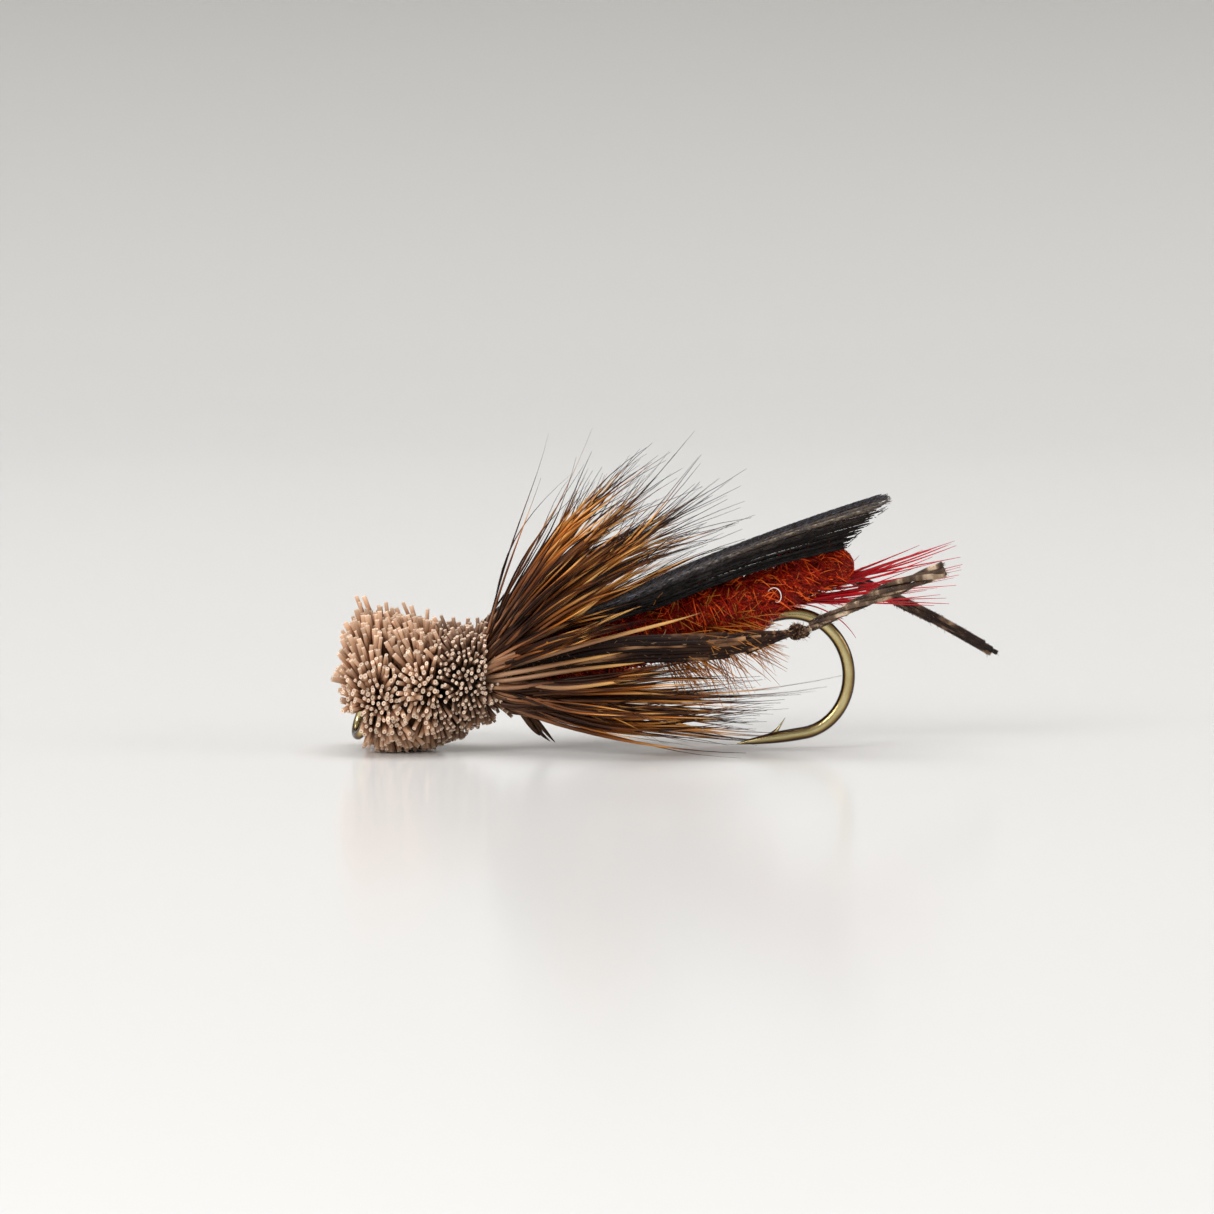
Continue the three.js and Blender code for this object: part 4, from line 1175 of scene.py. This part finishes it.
def leg_pieces(side, shin_material, twist, shin_rows, shin_ends=None):
    """Thigh, knee knot and shin of one leg; the thigh and the knot ride on the thigh's CAD body, the shin on
    its own.
    """
    rng = rng_for(side + " leg")
    thigh, shin = f"{side}_thigh", f"{side}_shin"
    femur = measured_spine(f"{side}_femur", 16)
    ends = 1 - 0.2 * np.abs(np.linspace(-1, 1, THIGH_FIBRES)) ** 1.5
    paths, fibres = bundle(femur, rng, THIGH_FIBRES, rows=3, radius=0.27, twist=0.5, ends=ends)
    piece(f"{side}_femur_fibres", [fibres], LEG_BARB, [f"{side}_femur"], thigh)
    fuzz = fibre_fuzz(paths, rng, count=3000, length=0.32, lean=32)
    piece(f"{side}_femur_barbules", [fuzz], LEG_FUZZ, body=thigh)

    knot = knot_paths(f"{side}_knee_knot", np.arange(4.0))
    cord = tubes(knot, np.full(knot.shape[:2], 0.06), sides=7)
    tuft = fibre_fuzz(knot, rng, count=560, length=0.28, lean=48)
    piece(f"{side}_knee_knot_cord", [cord, tuft], LEG_FUZZ, [f"{side}_knee_knot"], thigh)

    tibia = measured_spine(f"{side}_tibia", 10)
    shin_paths, shin_fibres = bundle(tibia, rng, SHIN_FIBRES, shin_rows, radius=0.5, twist=twist,
                                     ends=shin_ends, blunt=True)
    knee = cad_centre(f"{side}_knee_knot")
    t = np.linspace(0, 1, 8)[None, :, None]
    link = mix(knee + rng.normal(0, 0.07, (4, 1, 3)), shin_paths[:4, 4][:, None], t)
    neck = tubes(link, np.full((4, 8), 0.11), sides=6)
    shin_fuzz = fibre_fuzz(shin_paths, rng, count=1800, length=0.28, lean=30)
    piece(f"{side}_tibia_fibres", [shin_fibres, neck, shin_fuzz], shin_material,
          [f"{side}_tibia"], shin)


def femur_link(side):
    """Fibres that run from the thigh's end into the knot."""
    rng = rng_for(side + " link")
    femur = measured_spine(f"{side}_femur", 16)
    count = THIGH_FIBRES
    end = femur.point(np.full(count, 0.86), rng.uniform(-0.5, 0.5, count), np.linspace(-0.95, 0.95, count))
    knee = cad_centre(f"{side}_knee_knot") + rng.normal(0, 0.05, (count, 3))
    t = np.linspace(0, 1, 8)[None, :, None]
    paths = mix(end[:, None], knee[:, None], t)
    cords = tubes(paths, np.full((count, 8), 0.11) * np.linspace(1, 0.6, 8), sides=6, flat=0.8, rng=rng)
    fuzz = fibre_fuzz(paths, rng, count=420, length=0.28, lean=32)
    piece(f"{side}_femur_end", [cords, fuzz], LEG_BARB, body=f"{side}_thigh")


# ---- trimmed butts ----

def butts_piece():
    rng = rng_for("butts")
    low, high = cad_box("trimmed_butts")
    count = 5
    root = np.array([low[0] + 0.05, (low[1] + high[1]) / 2 + 0.1, high[2] - 0.6])
    roots = root + rng.normal(0, 0.14, (count, 3))
    tips = np.stack([mix(low[0] + 0.9, high[0] + 0.2, np.linspace(0, 1, count)),
                     rng.uniform(low[1], high[1], count),
                     mix(low[2] + 0.8, low[2], np.linspace(0, 1, count)) + rng.uniform(0, 0.3, count)], -1)
    t = np.linspace(0, 1, 8)
    paths = mix(roots[:, None], tips[:, None], t[None, :, None])
    paths = paths + rng.normal(0, 0.1, (count, 1, 3)) * bump(t)[None, :, None]
    radii = rng.uniform(0.12, 0.17, (count, 1)) * taper(t, (0, 0.8), (0.5, 1), (0.8, 0.7), (1, 0.12))
    paths = above_floor(paths, radii)
    piece("trimmed_butt_hairs", [tubes(paths, radii, flat=0.6)], BUTT_HAIR,
          ["trimmed_butts"])


# ---- hook ----

def finish_hook():
    """The CAD hook stays: its facets are rounded off and it is lacquered bronze."""
    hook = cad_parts["hook"]
    hook.data.materials.clear()
    hook.data.materials.append(bronze_material())
    weld = hook.modifiers.new("weld", "WELD")
    weld.merge_threshold = 1e-6
    rounder = hook.modifiers.new("rounder", "SUBSURF")
    rounder.levels = rounder.render_levels = 2
    group = bpy.data.node_groups.new("shade_smooth", "GeometryNodeTree")
    group.interface.new_socket("Geometry", in_out="INPUT", socket_type="NodeSocketGeometry")
    group.interface.new_socket("Geometry", in_out="OUTPUT", socket_type="NodeSocketGeometry")
    source = group.nodes.new("NodeGroupInput")
    shade = group.nodes.new("GeometryNodeSetShadeSmooth")
    sink = group.nodes.new("NodeGroupOutput")
    group.links.new(source.outputs[0], shade.inputs["Geometry"])
    group.links.new(shade.outputs[0], sink.inputs[0])
    hook.modifiers.new("shade_smooth", "NODES").node_group = group


# ---- studio ----

RIM_SHADE_HEIGHT = 0.06  # the height at which the floor's painted shade has reached its darkest


def bowl():
    """A seamless pale floor that curves up all round, with painted shade darkening it towards its rim."""
    flat, curve, sides = 0.26, 0.32, 96
    turn = np.linspace(0, math.pi / 2, 24)
    radii = np.concatenate([np.linspace(0.01, flat, 8), flat + curve * np.sin(turn[1:])])
    heights = np.concatenate([np.zeros(8), curve * (1 - np.cos(turn[1:]))])
    angle = np.arange(sides) * TAU / sides
    rings = [(r * math.cos(a), r * math.sin(a), z) for r, z in zip(radii, heights) for a in angle]
    middle = (cad_bounds[0] + cad_bounds[1]) / 2
    verts = [(x + middle.x, y, z) for x, y, z in rings] + [(middle.x, 0, 0)]
    faces = [(s * sides + k, (s + 1) * sides + k, (s + 1) * sides + (k + 1) % sides,
              s * sides + (k + 1) % sides) for s in range(len(radii) - 1) for k in range(sides)]
    faces += [(len(verts) - 1, k, (k + 1) % sides) for k in range(sides)]
    mesh = bpy.data.meshes.new("floor")
    mesh.from_pydata(verts, [], faces)
    mesh.polygons.foreach_set("use_smooth", [True] * len(mesh.polygons))
    add_object("floor", mesh)
    shader = Shader("pale_sweep")
    height = shader.math("MULTIPLY", shader.split(shader.place())[2], 1 / RIM_SHADE_HEIGHT)
    # painted shade: the floor darkens as it rises towards the rim
    colour = shader.ramp(height, [(0.0, "f0efed"), (0.25, "e6e5e2"), (1.0, "c8c6c2")])
    mesh.materials.append(shader.finish(colour, 0.16, Specular_IOR_Level=0.12))


def softbox(name, place, size, power, target):
    light = bpy.data.lights.new(name, "AREA")
    light.shape = "RECTANGLE"
    light.size, light.size_y = size
    light.energy = power
    box = add_object(name, light)
    box.location = place
    box.rotation_mode = "QUATERNION"
    box.rotation_quaternion = (Vector(target) - Vector(place)).to_track_quat("-Z", "Y")
    box.visible_camera = False


def studio(target):
    softbox("overhead", (0.0, 0.06, 0.5), (0.45, 0.35), 1.85, target)
    softbox("front_left", (-0.26, -0.3, 0.26), (0.22, 0.2), 1.25, target)
    softbox("right", (0.4, -0.1, 0.16), (0.2, 0.14), 0.4, target)
    world = bpy.data.worlds.new("studio")
    world.use_nodes = True
    world.node_tree.nodes["Background"].inputs[0].default_value = linear("ececee")
    world.node_tree.nodes["Background"].inputs[1].default_value = 0.25
    bpy.context.scene.world = world


VIEW_SHIFT = (-0.105, -0.03)  # from the fly's middle, as shares of its length and height


def camera(target):
    """A long lens a little above the floor, side on to the fly, which fills half of the frame."""
    elevation, frame_width, lens, sensor = math.radians(5), 0.0607, 160, 36
    distance = frame_width * lens / sensor
    data = bpy.data.cameras.new("camera")
    data.lens, data.sensor_width = lens, sensor
    data.clip_start, data.clip_end = 0.01, 10
    eye = add_object("camera", data)
    back = Vector((0, -math.cos(elevation), math.sin(elevation)))
    eye.location = Vector(target) + back * distance
    eye.rotation_mode = "QUATERNION"
    eye.rotation_quaternion = (-back).to_track_quat("-Z", "Y")
    focus = add_object("focus", None)
    focus.location = Vector(target) + Vector((0, -0.0018, 0))
    data.dof.use_dof = True
    data.dof.focus_object = focus
    data.dof.aperture_fstop = 64
    bpy.context.scene.camera = eye


def main():
    head_pieces()
    collar_pieces()
    for node, layers in (("thread_underbody", 1), ("thread_collar_band", 3), ("thread_whip_finish", 2)):
        thread_piece(node, layers)
    yarn_pieces()
    white_curl()
    tail_piece()
    loose_red_fibre()
    hackle_piece()
    wing_piece()
    leg_pieces("near", SHIN_BARB, twist=6.0, shin_rows=2)
    leg_pieces("far", DARK_SHIN, twist=0.6, shin_rows=1, shin_ends=FAR_SHIN_ENDS)
    femur_link("near")
    femur_link("far")
    butts_piece()
    finish_hook()
    low, high = cad_bounds
    size = high - low
    middle = (low + high) / 2
    target = Vector((middle.x + VIEW_SHIFT[0] * size.x, 0, middle.z + VIEW_SHIFT[1] * size.z))
    bowl()
    studio(target)
    camera(target)
    bpy.context.scene.view_settings.view_transform = "Standard"


main()
